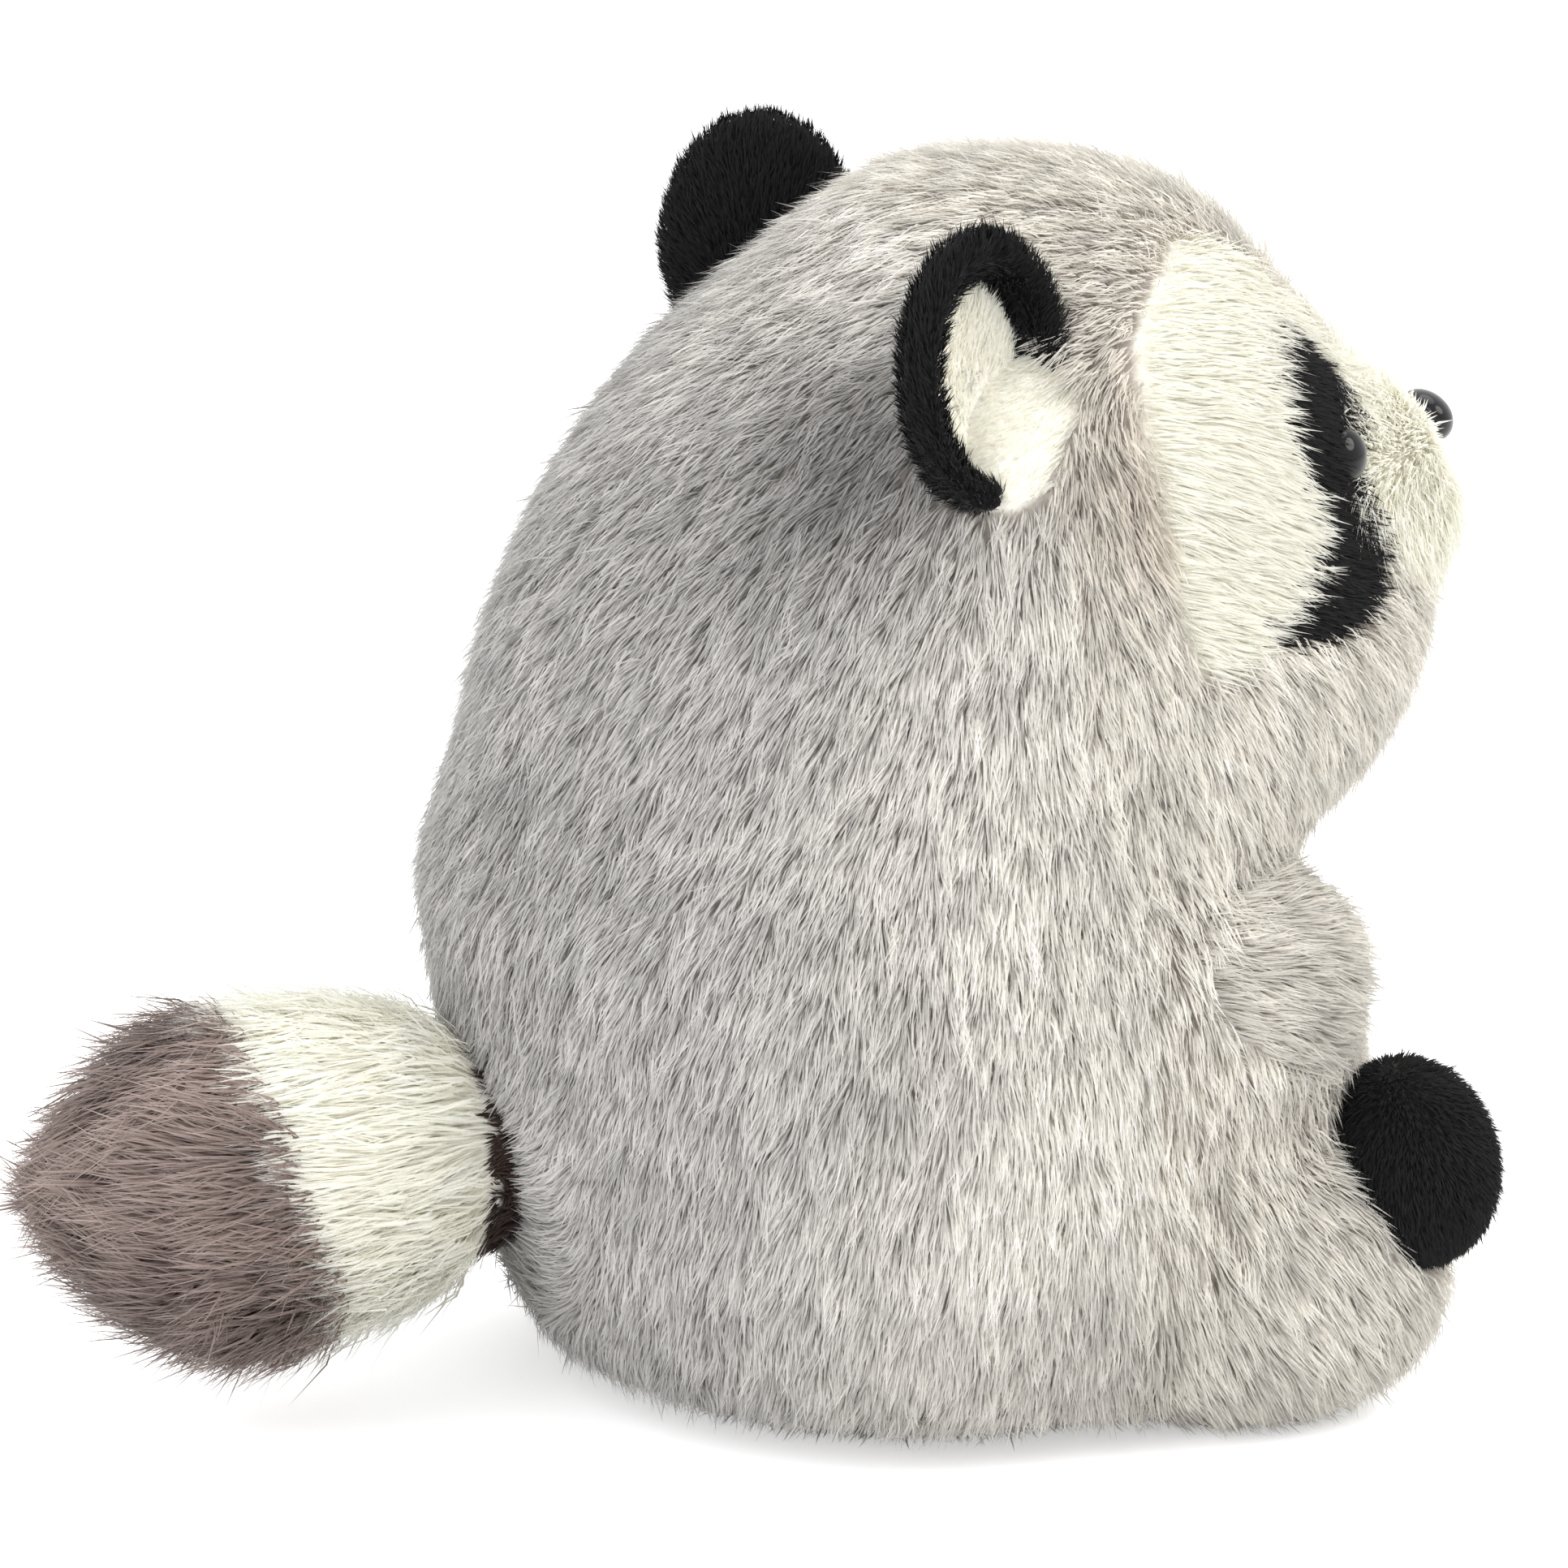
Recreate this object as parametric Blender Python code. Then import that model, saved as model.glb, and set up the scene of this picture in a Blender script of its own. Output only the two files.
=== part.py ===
# Seated plush raccoon: a pile-fabric skin over a fibre filling, stuffed arms, legs and tail,
# two-layer ears, and plastic eyes and nose held by washers behind the fabric.
# Metres, +Z up. The face looks along -Y and the origin is the middle of the flat base.

import math

import bmesh
import bpy
import numpy as np
from mathutils import Matrix, Vector
from mathutils.bvhtree import BVHTree

# Body, measured to the mean surface of the fur
BODY_HEIGHT = 0.2355         # ground to crown
BODY_HALF_WIDTH = 0.088      # at the belly
BACK_DEPTH = 0.097           # origin to the back, above the tail
FRONT_DEPTH = 0.097          # origin to the jaw
BODY_PILE = 0.007            # knitted backing and pile of the body panels
SEAM_GAP = 0.0003            # clearance wherever two pieces meet

# Level by level: height, front, back and half width, as shares of the four sizes above
BODY_LEVELS = (
    (0.000, 0.557, 0.598, 0.614), (0.022, 0.680, 0.680, 0.739), (0.060, 0.773, 0.814, 0.852),
    (0.170, 0.856, 0.907, 0.977), (0.305, 0.866, 0.969, 1.000), (0.416, 0.722, 1.000, 0.966),
    (0.476, 0.763, 0.969, 0.932), (0.544, 0.938, 0.928, 0.909), (0.628, 1.000, 0.876, 0.886),
    (0.731, 0.835, 0.753, 0.852), (0.833, 0.802, 0.565, 0.773), (0.907, 0.687, 0.350, 0.640),
    (0.958, 0.572, 0.200, 0.480), (0.988, 0.415, 0.080, 0.300), (1.000, 0.200, -0.200, 0.000),
)
HEAD_START = 7               # from this level up, two rings a level
MUZZLE_START, MUZZLE_STOP = 8.5, 10   # and four between these
RING_SIDES = 28

# Muzzle, a rounded swelling on the front of the head
MUZZLE_HEIGHT = 0.7264 * BODY_HEIGHT
MUZZLE_HALF_WIDTH = 0.034
MUZZLE_HALF_HEIGHT = 0.0195
MUZZLE_DEPTH = 0.026
MUZZLE_SEAM_SIDE = 0.0385    # half width of the white panel
MUZZLE_SEAM_RISE = 0.026     # half height of the white panel

# Seams
BASE_SEAM_HEIGHT = 0.013
SIDE_SEAM_Y = -0.124 * FRONT_DEPTH     # belly to back
NECK_SEAM_HEIGHT = 0.4968 * BODY_HEIGHT   # at the side seam
NECK_SEAM_DROP = 0.170       # fall per metre towards the chin
# Going up: share of the body height, and how far back as a share of the back depth
FACE_SEAM = ((0.552, -0.031), (0.616, -0.010), (0.769, -0.010), (0.871, 0.052), (0.977, 0.082))
FOREHEAD_HALF_WIDTH = 0.027
FOREHEAD_FOOT = 0.7945 * BODY_HEIGHT

# Face patches: degrees round from the front, height as a share of the body height
MASK_OUTLINE = (
    (36, 0.867), (46, 0.877), (54, 0.841), (54, 0.795), (45, 0.747), (50, 0.704), (66, 0.665),
    (53, 0.650), (39, 0.662), (31, 0.696), (26, 0.743), (27, 0.800), (31, 0.845),
)
CHEEK_OUTLINE = (
    (21, 0.872), (30, 0.903), (42, 0.934), (58, 0.943), (76, 0.921), (86, 0.887), (85, 0.815), (80, 0.760),
    (78, 0.702), (77, 0.636), (68, 0.660), (46, 0.712), (38, 0.765), (24, 0.775), (19, 0.820),
)

# Plastic eyes and nose
EYE_RADIUS = 0.0050
EYE_DEPTH = 0.0034           # half thickness of the button
EYE_ANGLE = 35               # degrees round from the front
EYE_HEIGHT = 0.773 * BODY_HEIGHT
EYE_SUNK = 0.0020            # centre of the button below the fur surface
NOSE_HALF_WIDTH = 0.0070
NOSE_HALF_HEIGHT = 0.0055
NOSE_DEPTH = 0.0042          # half thickness
NOSE_SUNK = 0.0010
NOSE_RISE = 0.007            # above the middle of the muzzle
SHANK_RADIUS = 0.0016
WASHER_RADIUS = 0.0060
WASHER_THICKNESS = 0.0012
SHANK_END = 0.0015           # what stands past the washer

# Ears
EAR_SIDE = 0.682 * BODY_HALF_WIDTH
EAR_Y = 0.011
EAR_HEIGHT = 0.881 * BODY_HEIGHT
EAR_HALF_WIDTH = 0.0205
EAR_HALF_HEIGHT = 0.0275
EAR_TURN = 64                # degrees outwards from straight ahead
EAR_LEAN = 6                 # degrees backwards
EAR_CUP = 0.0085             # how far the middle lies behind the rim
EAR_FABRIC = 0.0035          # black pile fabric
EAR_LINING = 0.0030          # white lining
EAR_RIM = 0.0070             # width of the black rim round the lining

# Arms
ARM_SIDE = 0.705 * BODY_HALF_WIDTH
ARM_Y = -0.371 * FRONT_DEPTH
ARM_HEIGHT = 0.3756 * BODY_HEIGHT
ARM_HALF_WIDTH = 0.018
ARM_HALF_LENGTH = 0.030
ARM_HALF_HEIGHT = 0.0225
ARM_TURN = 14                # degrees inwards
LIMB_PILE = 0.005

# Legs and feet
LEG_SIDE = 0.614 * BODY_HALF_WIDTH
LEG_Y = -0.474 * FRONT_DEPTH
LEG_HALF_WIDTH = 0.027
LEG_HALF_LENGTH = 0.039
LEG_HALF_HEIGHT = 0.031
FOOT_OUTWARD = 0.0115        # foot centre from the leg centre
FOOT_FORWARD = 0.027
FOOT_RISE = 0.020
FOOT_HALF_WIDTH = 0.0185
FOOT_HALF_LENGTH = 0.0165
FOOT_HALF_HEIGHT = 0.0207
FOOT_TILT = 12               # degrees, toes back

# Tail
TAIL_HEIGHT = 0.2255 * BODY_HEIGHT
TAIL_RADIUS = 0.0345
TAIL_FLATNESS = 0.92         # side to side against up and down
TAIL_START = 0.804 * BACK_DEPTH        # inside the body's back
TAIL_LENGTH = 0.097
TAIL_DROOP = 0.003
TAIL_PILE = 0.008
ROOT_BAND = 0.0158           # from the start of the tail
WHITE_BAND = 0.0322          # on to the seam of the tip
TIP_SEAM_SLOPE = 0.30        # metres back per metre up
TAIL_PROFILE = (             # along the tail, radius: shares of the length and of the radius
    (0.00, 0.66), (0.15, 0.76), (0.33, 0.92), (0.52, 1.00), (0.68, 0.97), (0.82, 0.80),
    (0.92, 0.54), (0.98, 0.25), (1.00, 0.00),
)


def linear(value):
    value /= 255
    return value / 12.92 if value <= 0.04045 else ((value + 0.055) / 1.055) ** 2.4


def material(name, colour, roughness, metallic=0.0):
    mat = bpy.data.materials.new(name)
    mat.use_nodes = True
    shader = mat.node_tree.nodes["Principled BSDF"]
    rgb = [linear(int(colour[i:i + 2], 16)) for i in (0, 2, 4)]
    shader.inputs["Base Color"].default_value = (*rgb, 1)
    shader.inputs["Roughness"].default_value = roughness
    shader.inputs["Metallic"].default_value = metallic
    mat.diffuse_color = (*rgb, 1)
    return mat


def curve_through(points, t, closed=False):
    # A smooth curve through the rows of points, at the places t counted in rows
    p = np.array(points, float)
    n = len(p)
    t = np.asarray(t, float)
    if closed:
        i = np.floor(t).astype(int)
        f = (t - i)[..., None]
        a, b, c, d = (p[(i + k) % n] for k in (-1, 0, 1, 2))
    else:
        i = np.clip(np.floor(t).astype(int), 0, n - 2)
        f = (t - i)[..., None]
        p = np.vstack([2 * p[0] - p[1], p, 2 * p[-1] - p[-2]])
        a, b, c, d = p[i], p[i + 1], p[i + 2], p[i + 3]
    return 0.5 * (2 * b + (c - a) * f + (2 * a - 5 * b + 4 * c - d) * f ** 2
                  + (3 * b - a - 3 * c + d) * f ** 3)


def body_rows(inset):
    # Height, middle, half depth and half width of each level, moved inwards by the inset
    rows = []
    for up, front, back, wide in BODY_LEVELS:
        front, back = -front * FRONT_DEPTH, back * BACK_DEPTH
        depth = max((back - front) / 2 - inset, 0) if wide else 0
        rows.append((inset + up * (BODY_HEIGHT - 2 * inset), (front + back) / 2, depth,
                     max(wide * BODY_HALF_WIDTH - inset, 0) if wide else 0))
    return rows


def body_point(angle, t, inset=0.0):
    # A point of the body surface: angle round from the front, t counted in levels
    up, middle, depth, wide = np.moveaxis(curve_through(body_rows(inset), t), -1, 0)
    x = wide * np.sin(angle)
    y = middle - depth * np.cos(angle)
    spread = (np.abs(x) / MUZZLE_HALF_WIDTH) ** 2.4
    spread = spread + (np.abs(up - MUZZLE_HEIGHT) / MUZZLE_HALF_HEIGHT) ** 2.4
    y = y - np.where(np.cos(angle) > 0, MUZZLE_DEPTH * np.exp(-spread ** 1.1), 0)
    return np.stack(np.broadcast_arrays(x, y, up), -1)


def level_at(height, inset=0.0):
    t = np.linspace(0, len(BODY_LEVELS) - 1, 1401)
    return float(np.interp(height, curve_through(body_rows(inset), t)[:, 0], t))


def body_frame(angle, height):
    # Matrix with its origin on the fur surface and Z straight out of it
    t = level_at(height)
    here = Vector(body_point(angle, t))
    along = Vector(body_point(angle + 0.03, t)) - Vector(body_point(angle - 0.03, t))
    rise = Vector(body_point(angle, t + 0.05)) - Vector(body_point(angle, t - 0.05))
    z = along.cross(rise).normalized()
    y = (rise - rise.dot(z) * z).normalized()
    return Matrix.Translation(here) @ Matrix((y.cross(z), y, z)).transposed().to_4x4()


def add_object(name, bm, mat=None):
    bmesh.ops.recalc_face_normals(bm, faces=bm.faces)
    bmesh.ops.triangulate(bm, faces=bm.faces)
    mesh = bpy.data.meshes.new(name)
    bm.to_mesh(mesh)
    bm.free()
    obj = bpy.data.objects.new(name, mesh)
    bpy.context.scene.collection.objects.link(obj)
    if mat is None:
        obj.hide_render = True
        obj.display_type = "WIRE"
    else:
        mesh.materials.append(mat)
    return obj


def add_rings(bm, rings, start_point=None, end_point=None):
    # Skin a stack of closed rings, each end a flat cap or a point
    loops = [[bm.verts.new(p) for p in ring] for ring in rings]
    for lower, upper in zip(loops, loops[1:]):
        for k in range(len(lower)):
            n = (k + 1) % len(lower)
            bm.faces.new((lower[k], lower[n], upper[n], upper[k]))
    for loop, point in ((loops[0], start_point), (loops[-1], end_point)):
        if point is None:
            bm.faces.new(loop)
        else:
            tip = bm.verts.new(point)
            for k in range(len(loop)):
                bm.faces.new((loop[k], loop[(k + 1) % len(loop)], tip))
    return loops


def body_solid(name, inset):
    angles = np.arange(RING_SIDES) * 2 * math.pi / RING_SIDES
    top = len(BODY_LEVELS) - 1
    places = sorted({*range(HEAD_START), *np.arange(HEAD_START, top, 0.5),
                     *np.arange(MUZZLE_START, MUZZLE_STOP, 0.25)})
    bm = bmesh.new()
    rings = [body_point(angles, np.full(RING_SIDES, t), inset) for t in places]
    add_rings(bm, rings, end_point=body_point(0.0, top, inset))
    return add_object(name, bm)


def prism_x(name, outline, low, high):
    # A flat outline in the YZ plane, carried along X
    bm = bmesh.new()
    add_rings(bm, [[(x, y, z) for y, z in outline] for x in (low, high)])
    return add_object(name, bm)


def muzzle_prism(name, grow):
    bm = bmesh.new()
    rings = []
    for y in (-2 * FRONT_DEPTH, -0.3 * FRONT_DEPTH):
        ring = []
        for a in np.arange(32) * 2 * math.pi / 32:
            c, s = math.cos(a), math.sin(a)
            x = math.copysign(abs(c) ** 0.87, c) * (MUZZLE_SEAM_SIDE + grow)
            z = math.copysign(abs(s) ** 0.87, s) * (MUZZLE_SEAM_RISE + grow)
            ring.append((x, y, MUZZLE_HEIGHT + z))
        rings.append(ring)
    add_rings(bm, rings)
    return add_object(name, bm)


def patch_prism(name, outline, grow):
    # Cutter for a face patch: its outline on the body, drawn inwards and outwards
    n = len(outline)
    flat = curve_through(outline, np.arange(0, n, 0.5), closed=True)
    angle, up = np.radians(flat[:, 0]), flat[:, 1] * BODY_HEIGHT
    arc = BODY_HALF_WIDTH * 0.85
    edge = np.stack([angle * arc, up], 1)
    tangent = np.roll(edge, -1, 0) - np.roll(edge, 1, 0)
    tangent /= np.linalg.norm(tangent, axis=1, keepdims=True)
    turn = np.sum(edge[:, 0] * np.roll(edge[:, 1], -1) - np.roll(edge[:, 0], -1) * edge[:, 1])
    normal = np.stack([tangent[:, 1], -tangent[:, 0]], 1) * (1 if turn > 0 else -1)
    edge = edge + normal * grow
    flat = bmesh.new()
    flat.faces.new([flat.verts.new((a, z, 0)) for a, z in edge])
    flat.verts.index_update()
    bmesh.ops.triangulate(flat, faces=list(flat.faces))
    corners = [[v.index for v in f.verts] for f in flat.faces]
    flat.free()
    bm = bmesh.new()
    layers = []
    for share in (0.5, 1.4):
        layer = []
        for a, z in edge:
            _, middle, depth, wide = curve_through(body_rows(0), level_at(z))
            layer.append(bm.verts.new((share * wide * math.sin(a / arc),
                                       middle - share * depth * math.cos(a / arc), z)))
        layers.append(layer)
    near, away = layers
    for tri in corners:
        bm.faces.new([away[k] for k in tri])
        bm.faces.new([near[k] for k in reversed(tri)])
    for k in range(len(near)):
        m = (k + 1) % len(near)
        bm.faces.new((near[k], near[m], away[m], away[k]))
    return add_object(name, bm)


def box(name, low, high):
    bm = bmesh.new()
    bmesh.ops.create_cube(bm, size=1)
    low, high = Vector(low), Vector(high)
    for v in bm.verts:
        v.co = Vector([low[i] + (v.co[i] + 0.5) * (high[i] - low[i]) for i in range(3)])
    return add_object(name, bm)


def rounded(name, centre, radii, turn=None, squareness=1.0, sides=24, rings=12, mat=None):
    # A closed ball with three radii; squareness below 1 fills its corners out
    place = Matrix.Translation(centre) @ (turn.to_4x4() if turn else Matrix.Identity(4))
    loops = []
    for i in range(1, rings):
        e = math.pi * i / rings - math.pi / 2
        loop = []
        for k in range(sides):
            a = 2 * math.pi * k / sides
            v = [math.cos(e) * math.cos(a), math.cos(e) * math.sin(a), math.sin(e)]
            if squareness != 1.0:
                p = 2 / squareness
                v = [c / sum(abs(q) ** p for q in v) ** (1 / p) for c in v]
            loop.append(place @ Vector([c * r for c, r in zip(v, radii)]))
        loops.append(loop)
    bm = bmesh.new()
    add_rings(bm, loops, place @ Vector((0, 0, -radii[2])), place @ Vector((0, 0, radii[2])))
    return add_object(name, bm, mat)


def turned(name, profile, place, sides=16, scale=(1, 1), mat=None):
    # A profile of (radius, height) turned about local Z; its first and last radius are 0
    loops = [[place @ Vector((r * math.cos(a) * scale[0], r * math.sin(a) * scale[1], h))
              for a in np.arange(sides) * 2 * math.pi / sides] for r, h in profile[1:-1]]
    bm = bmesh.new()
    add_rings(bm, loops, place @ Vector((0, 0, profile[0][1])), place @ Vector((0, 0, profile[-1][1])))
    return add_object(name, bm, mat)


def carve(name, source, steps, mat=None):
    # A copy of the source with Boolean steps ("INTERSECT", "DIFFERENCE" or "UNION") worked in
    mesh = source.data.copy()
    obj = bpy.data.objects.new(name, mesh)
    bpy.context.scene.collection.objects.link(obj)
    mod = obj.modifiers.new("Cut", "BOOLEAN")
    mod.solver = "EXACT"
    for how, cutter in steps:
        mod.operation = how
        mod.object = cutter
        graph = bpy.context.evaluated_depsgraph_get()
        mesh = bpy.data.meshes.new_from_object(obj.evaluated_get(graph), depsgraph=graph)
        bm = bmesh.new()
        bm.from_mesh(mesh)
        bmesh.ops.remove_doubles(bm, verts=bm.verts, dist=1e-6)
        bmesh.ops.dissolve_limit(bm, angle_limit=0.015, verts=bm.verts, edges=bm.edges)
        bmesh.ops.triangulate(bm, faces=bm.faces)
        bm.to_mesh(mesh)
        bm.free()
        obj.data = mesh
    obj.modifiers.clear()
    mesh.materials.clear()
    if mat is None:
        obj.hide_render = True
        obj.display_type = "WIRE"
    else:
        mesh.materials.append(mat)
        mesh.shade_smooth()
        mesh.set_sharp_from_angle(angle=math.radians(40))
    return obj


def mirrored(name, source):
    # The same piece on the other side of the toy
    bm = bmesh.new()
    bm.from_mesh(source.data)
    bmesh.ops.transform(bm, matrix=Matrix.Diagonal((-1, 1, 1, 1)), verts=bm.verts)
    bmesh.ops.reverse_faces(bm, faces=bm.faces)
    mesh = bpy.data.meshes.new(name)
    bm.to_mesh(mesh)
    bm.free()
    mesh.materials.append(source.data.materials[0])
    obj = bpy.data.objects.new(name, mesh)
    bpy.context.scene.collection.objects.link(obj)
    return obj


for old in list(bpy.data.objects):
    bpy.data.objects.remove(old, do_unlink=True)

grey_pile = material("grey_pile_fabric", "BDB8B4", 0.95)
white_pile = material("cream_pile_fabric", "F3F1EA", 0.95)
black_pile = material("black_pile_fabric", "141316", 0.95)
taupe_pile = material("taupe_pile_fabric", "7F716C", 0.95)
brown_pile = material("dark_brown_pile_fabric", "4A3B35", 0.95)
fibre = material("polyester_fibre_filling", "F4F4F2", 0.9)
eye_plastic = material("dark_eye_plastic", "16100D", 0.12)
nose_plastic = material("dark_nose_plastic", "1B191B", 0.25)
washer_plastic = material("washer_plastic", "E8E6E0", 0.4)

half = SEAM_GAP / 2
far = 3 * BODY_HALF_WIDTH
sky = 1.3 * BODY_HEIGHT
outer = body_solid("body_outer_guide", 0)
inner = body_solid("body_inner_guide", BODY_PILE)
clear = body_solid("body_clearance_guide", -SEAM_GAP)
skin = carve("skin_guide", outer, [("DIFFERENCE", inner)])


def neck_height(y):
    return NECK_SEAM_HEIGHT + NECK_SEAM_DROP * (y - SIDE_SEAM_Y)


def seam_line(shift):
    # The side seam from the base up, over the head in front of the ears
    line = [(SIDE_SEAM_Y + shift, NECK_SEAM_HEIGHT)]
    line += [(y * BACK_DEPTH + shift, z * BODY_HEIGHT) for z, y in FACE_SEAM]
    return line + [(FACE_SEAM[-1][1] * BACK_DEPTH + shift, sky)]


floor_cut = BASE_SEAM_HEIGHT + half
back_region = [(SIDE_SEAM_Y + half, floor_cut)] + seam_line(half) + [(far, sky), (far, floor_cut)]
face_region = ([(-far, neck_height(-far) + half), (SIDE_SEAM_Y - half, neck_height(SIDE_SEAM_Y) + half)]
               + seam_line(-half)[1:] + [(-far, sky)])
belly_region = [(-far, floor_cut), (SIDE_SEAM_Y - half, floor_cut),
                (SIDE_SEAM_Y - half, neck_height(SIDE_SEAM_Y) - half), (-far, neck_height(-far) - half)]

base_panel = carve("base_panel", skin, [("INTERSECT", box(
    "base_region", (-far, -far, -0.1 * BODY_HEIGHT), (far, far, BASE_SEAM_HEIGHT - half)))], grey_pile)
back_left = carve("back_panel_left", skin, [("INTERSECT", prism_x(
    "back_region", back_region, half, far))], grey_pile)
mirrored("back_panel_right", back_left)
belly = carve("belly_panel", skin, [("INTERSECT", prism_x(
    "belly_region", belly_region, -far, far))], grey_pile)
face = carve("face_guide", skin, [("INTERSECT", prism_x("face_region", face_region, -far, far))])

muzzle_in, muzzle_out = muzzle_prism("muzzle_cut", -half), muzzle_prism("muzzle_clear", half)
mask_in, mask_out = (patch_prism("mask_cut", MASK_OUTLINE, -half),
                     patch_prism("mask_clear", MASK_OUTLINE, half))
cheek_in, cheek_out = (patch_prism("cheek_cut", CHEEK_OUTLINE, -half),
                       patch_prism("cheek_clear", CHEEK_OUTLINE, half))
forehead_cut = box("forehead_cut", (-FOREHEAD_HALF_WIDTH + half, -far, FOREHEAD_FOOT + half),
                   (FOREHEAD_HALF_WIDTH - half, far, sky))
forehead_out = box("forehead_clear", (-FOREHEAD_HALF_WIDTH - half, -far, FOREHEAD_FOOT - half),
                   (FOREHEAD_HALF_WIDTH + half, far, sky))
left_half = box("left_half", (half, -far, -far), (far, far, sky))


def behind_fabric(place):
    # Depth at which a flat washer is clear of the inner face of the fabric
    tree = BVHTree.FromPolygons([v.co for v in inner.data.vertices],
                                [tuple(p.vertices) for p in inner.data.polygons])
    out = place.to_3x3() @ Vector((0, 0, 1))
    depths = []
    for k in range(24):
        a = 2 * math.pi * k / 24
        start = place @ Vector((WASHER_RADIUS * math.cos(a), WASHER_RADIUS * math.sin(a), 0))
        depths.append(tree.ray_cast(start + out * BODY_PILE, -out)[3] - BODY_PILE)
    return max(depths)


# Eyes and nose: ball, shank and washer on one axis, and the room that they need
def snap_in(name, place, head_radii, sunk, mat):
    reach = -behind_fabric(place) - SEAM_GAP
    end = reach - WASHER_THICKNESS - SHANK_END
    head = rounded(name + "_head", place @ Vector((0, 0, -sunk)), head_radii,
                   place.to_3x3(), sides=12, rings=6)
    stem = turned(name + "_stem", [(0, -sunk), (SHANK_RADIUS, -sunk), (SHANK_RADIUS, end), (0, end)],
                  place, sides=12)
    piece = carve(name, head, [("UNION", stem)], mat)
    hole = SHANK_RADIUS + SEAM_GAP
    disc = turned(name + "_disc", [(0, reach), (WASHER_RADIUS, reach),
                                   (WASHER_RADIUS, reach - WASHER_THICKNESS),
                                   (0, reach - WASHER_THICKNESS)], place, sides=12)
    drill = turned(name + "_drill", [(0, 0), (hole, 0), (hole, end - SEAM_GAP), (0, end - SEAM_GAP)],
                   place, sides=12)
    seat = rounded(name + "_seat", place @ Vector((0, 0, -sunk)), [r + SEAM_GAP for r in head_radii],
                   place.to_3x3(), sides=12, rings=6)
    washer = carve(name.replace("eye", "eye_washer").replace("nose", "nose_washer"), disc,
                   [("DIFFERENCE", drill)], washer_plastic)
    room = WASHER_RADIUS + SEAM_GAP
    pocket = turned(name + "_pocket", [(0, 0.5 * reach), (room, 0.5 * reach),
                                       (room, reach - WASHER_THICKNESS - SEAM_GAP),
                                       (0, reach - WASHER_THICKNESS - SEAM_GAP)], place, sides=12)
    return piece, washer, [("DIFFERENCE", seat), ("DIFFERENCE", drill)], [("DIFFERENCE", pocket),
                                                                         ("DIFFERENCE", drill)]


def across(cutters):
    # The same cutters on the other side of the middle plane
    others = []
    for how, cutter in cutters:
        other = carve(cutter.name + "_right", cutter, [])
        for v in other.data.vertices:
            v.co.x = -v.co.x
        other.data.flip_normals()
        others.append((how, other))
    return others


eye_place = body_frame(math.radians(EYE_ANGLE), EYE_HEIGHT)
eye_left, eye_washer_left, eye_hole, eye_room = snap_in(
    "eye_left", eye_place, (EYE_RADIUS, EYE_RADIUS, EYE_DEPTH), EYE_SUNK, eye_plastic)
mirrored("eye_right", eye_left)
mirrored("eye_washer_right", eye_washer_left)
nose_place = body_frame(0.0, MUZZLE_HEIGHT + NOSE_RISE)
nose, nose_washer, nose_hole, nose_room = snap_in(
    "nose", nose_place, (NOSE_HALF_WIDTH, NOSE_HALF_HEIGHT, NOSE_DEPTH), NOSE_SUNK, nose_plastic)

carve("muzzle_panel", face, [("INTERSECT", muzzle_in)] + nose_hole + eye_hole + across(eye_hole),
      white_pile)
mask = carve("mask_left", face, [("INTERSECT", mask_in), ("DIFFERENCE", muzzle_out)] + eye_hole,
             black_pile)
mirrored("mask_right", mask)
cheek = carve("cheek_patch_left", face, [("INTERSECT", cheek_in), ("DIFFERENCE", mask_out),
                                         ("DIFFERENCE", muzzle_out)], white_pile)
mirrored("cheek_patch_right", cheek)
face_side = carve("face_side_left", face, [
    ("INTERSECT", left_half), ("DIFFERENCE", forehead_out), ("DIFFERENCE", mask_out),
    ("DIFFERENCE", cheek_out), ("DIFFERENCE", muzzle_out)], grey_pile)
mirrored("face_side_right", face_side)
mask_out_right, cheek_out_right = (carve(o.name + "_right", o, []) for o in (mask_out, cheek_out))
for o in (mask_out_right, cheek_out_right):
    for v in o.data.vertices:
        v.co.x = -v.co.x
    o.data.flip_normals()
carve("forehead_strip", face, [
    ("INTERSECT", forehead_cut), ("DIFFERENCE", mask_out), ("DIFFERENCE", mask_out_right),
    ("DIFFERENCE", cheek_out), ("DIFFERENCE", cheek_out_right), ("DIFFERENCE", muzzle_out)], grey_pile)

core = body_solid("filling_guide", BODY_PILE + SEAM_GAP)
carve("body_filling", core, eye_room + across(eye_room) + nose_room, fibre)

# Ears: a black pile shell turned over at the rim, and a white lining in its hollow
ear_turn = (Matrix.Rotation(math.radians(EAR_TURN), 3, "Z")
            @ Matrix.Rotation(math.radians(90 - EAR_LEAN), 3, "X"))
ear_place = Matrix.Translation((EAR_SIDE, EAR_Y, EAR_HEIGHT)) @ ear_turn.to_4x4()
rim_in = 1 - EAR_RIM / EAR_HALF_WIDTH
ear_scale = (EAR_HALF_WIDTH, EAR_HALF_HEIGHT)


def bowl(share, lift=0.0):
    # Depth of the cup at a share of its radius
    return -EAR_CUP * (1 - share ** 2) + lift


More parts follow.
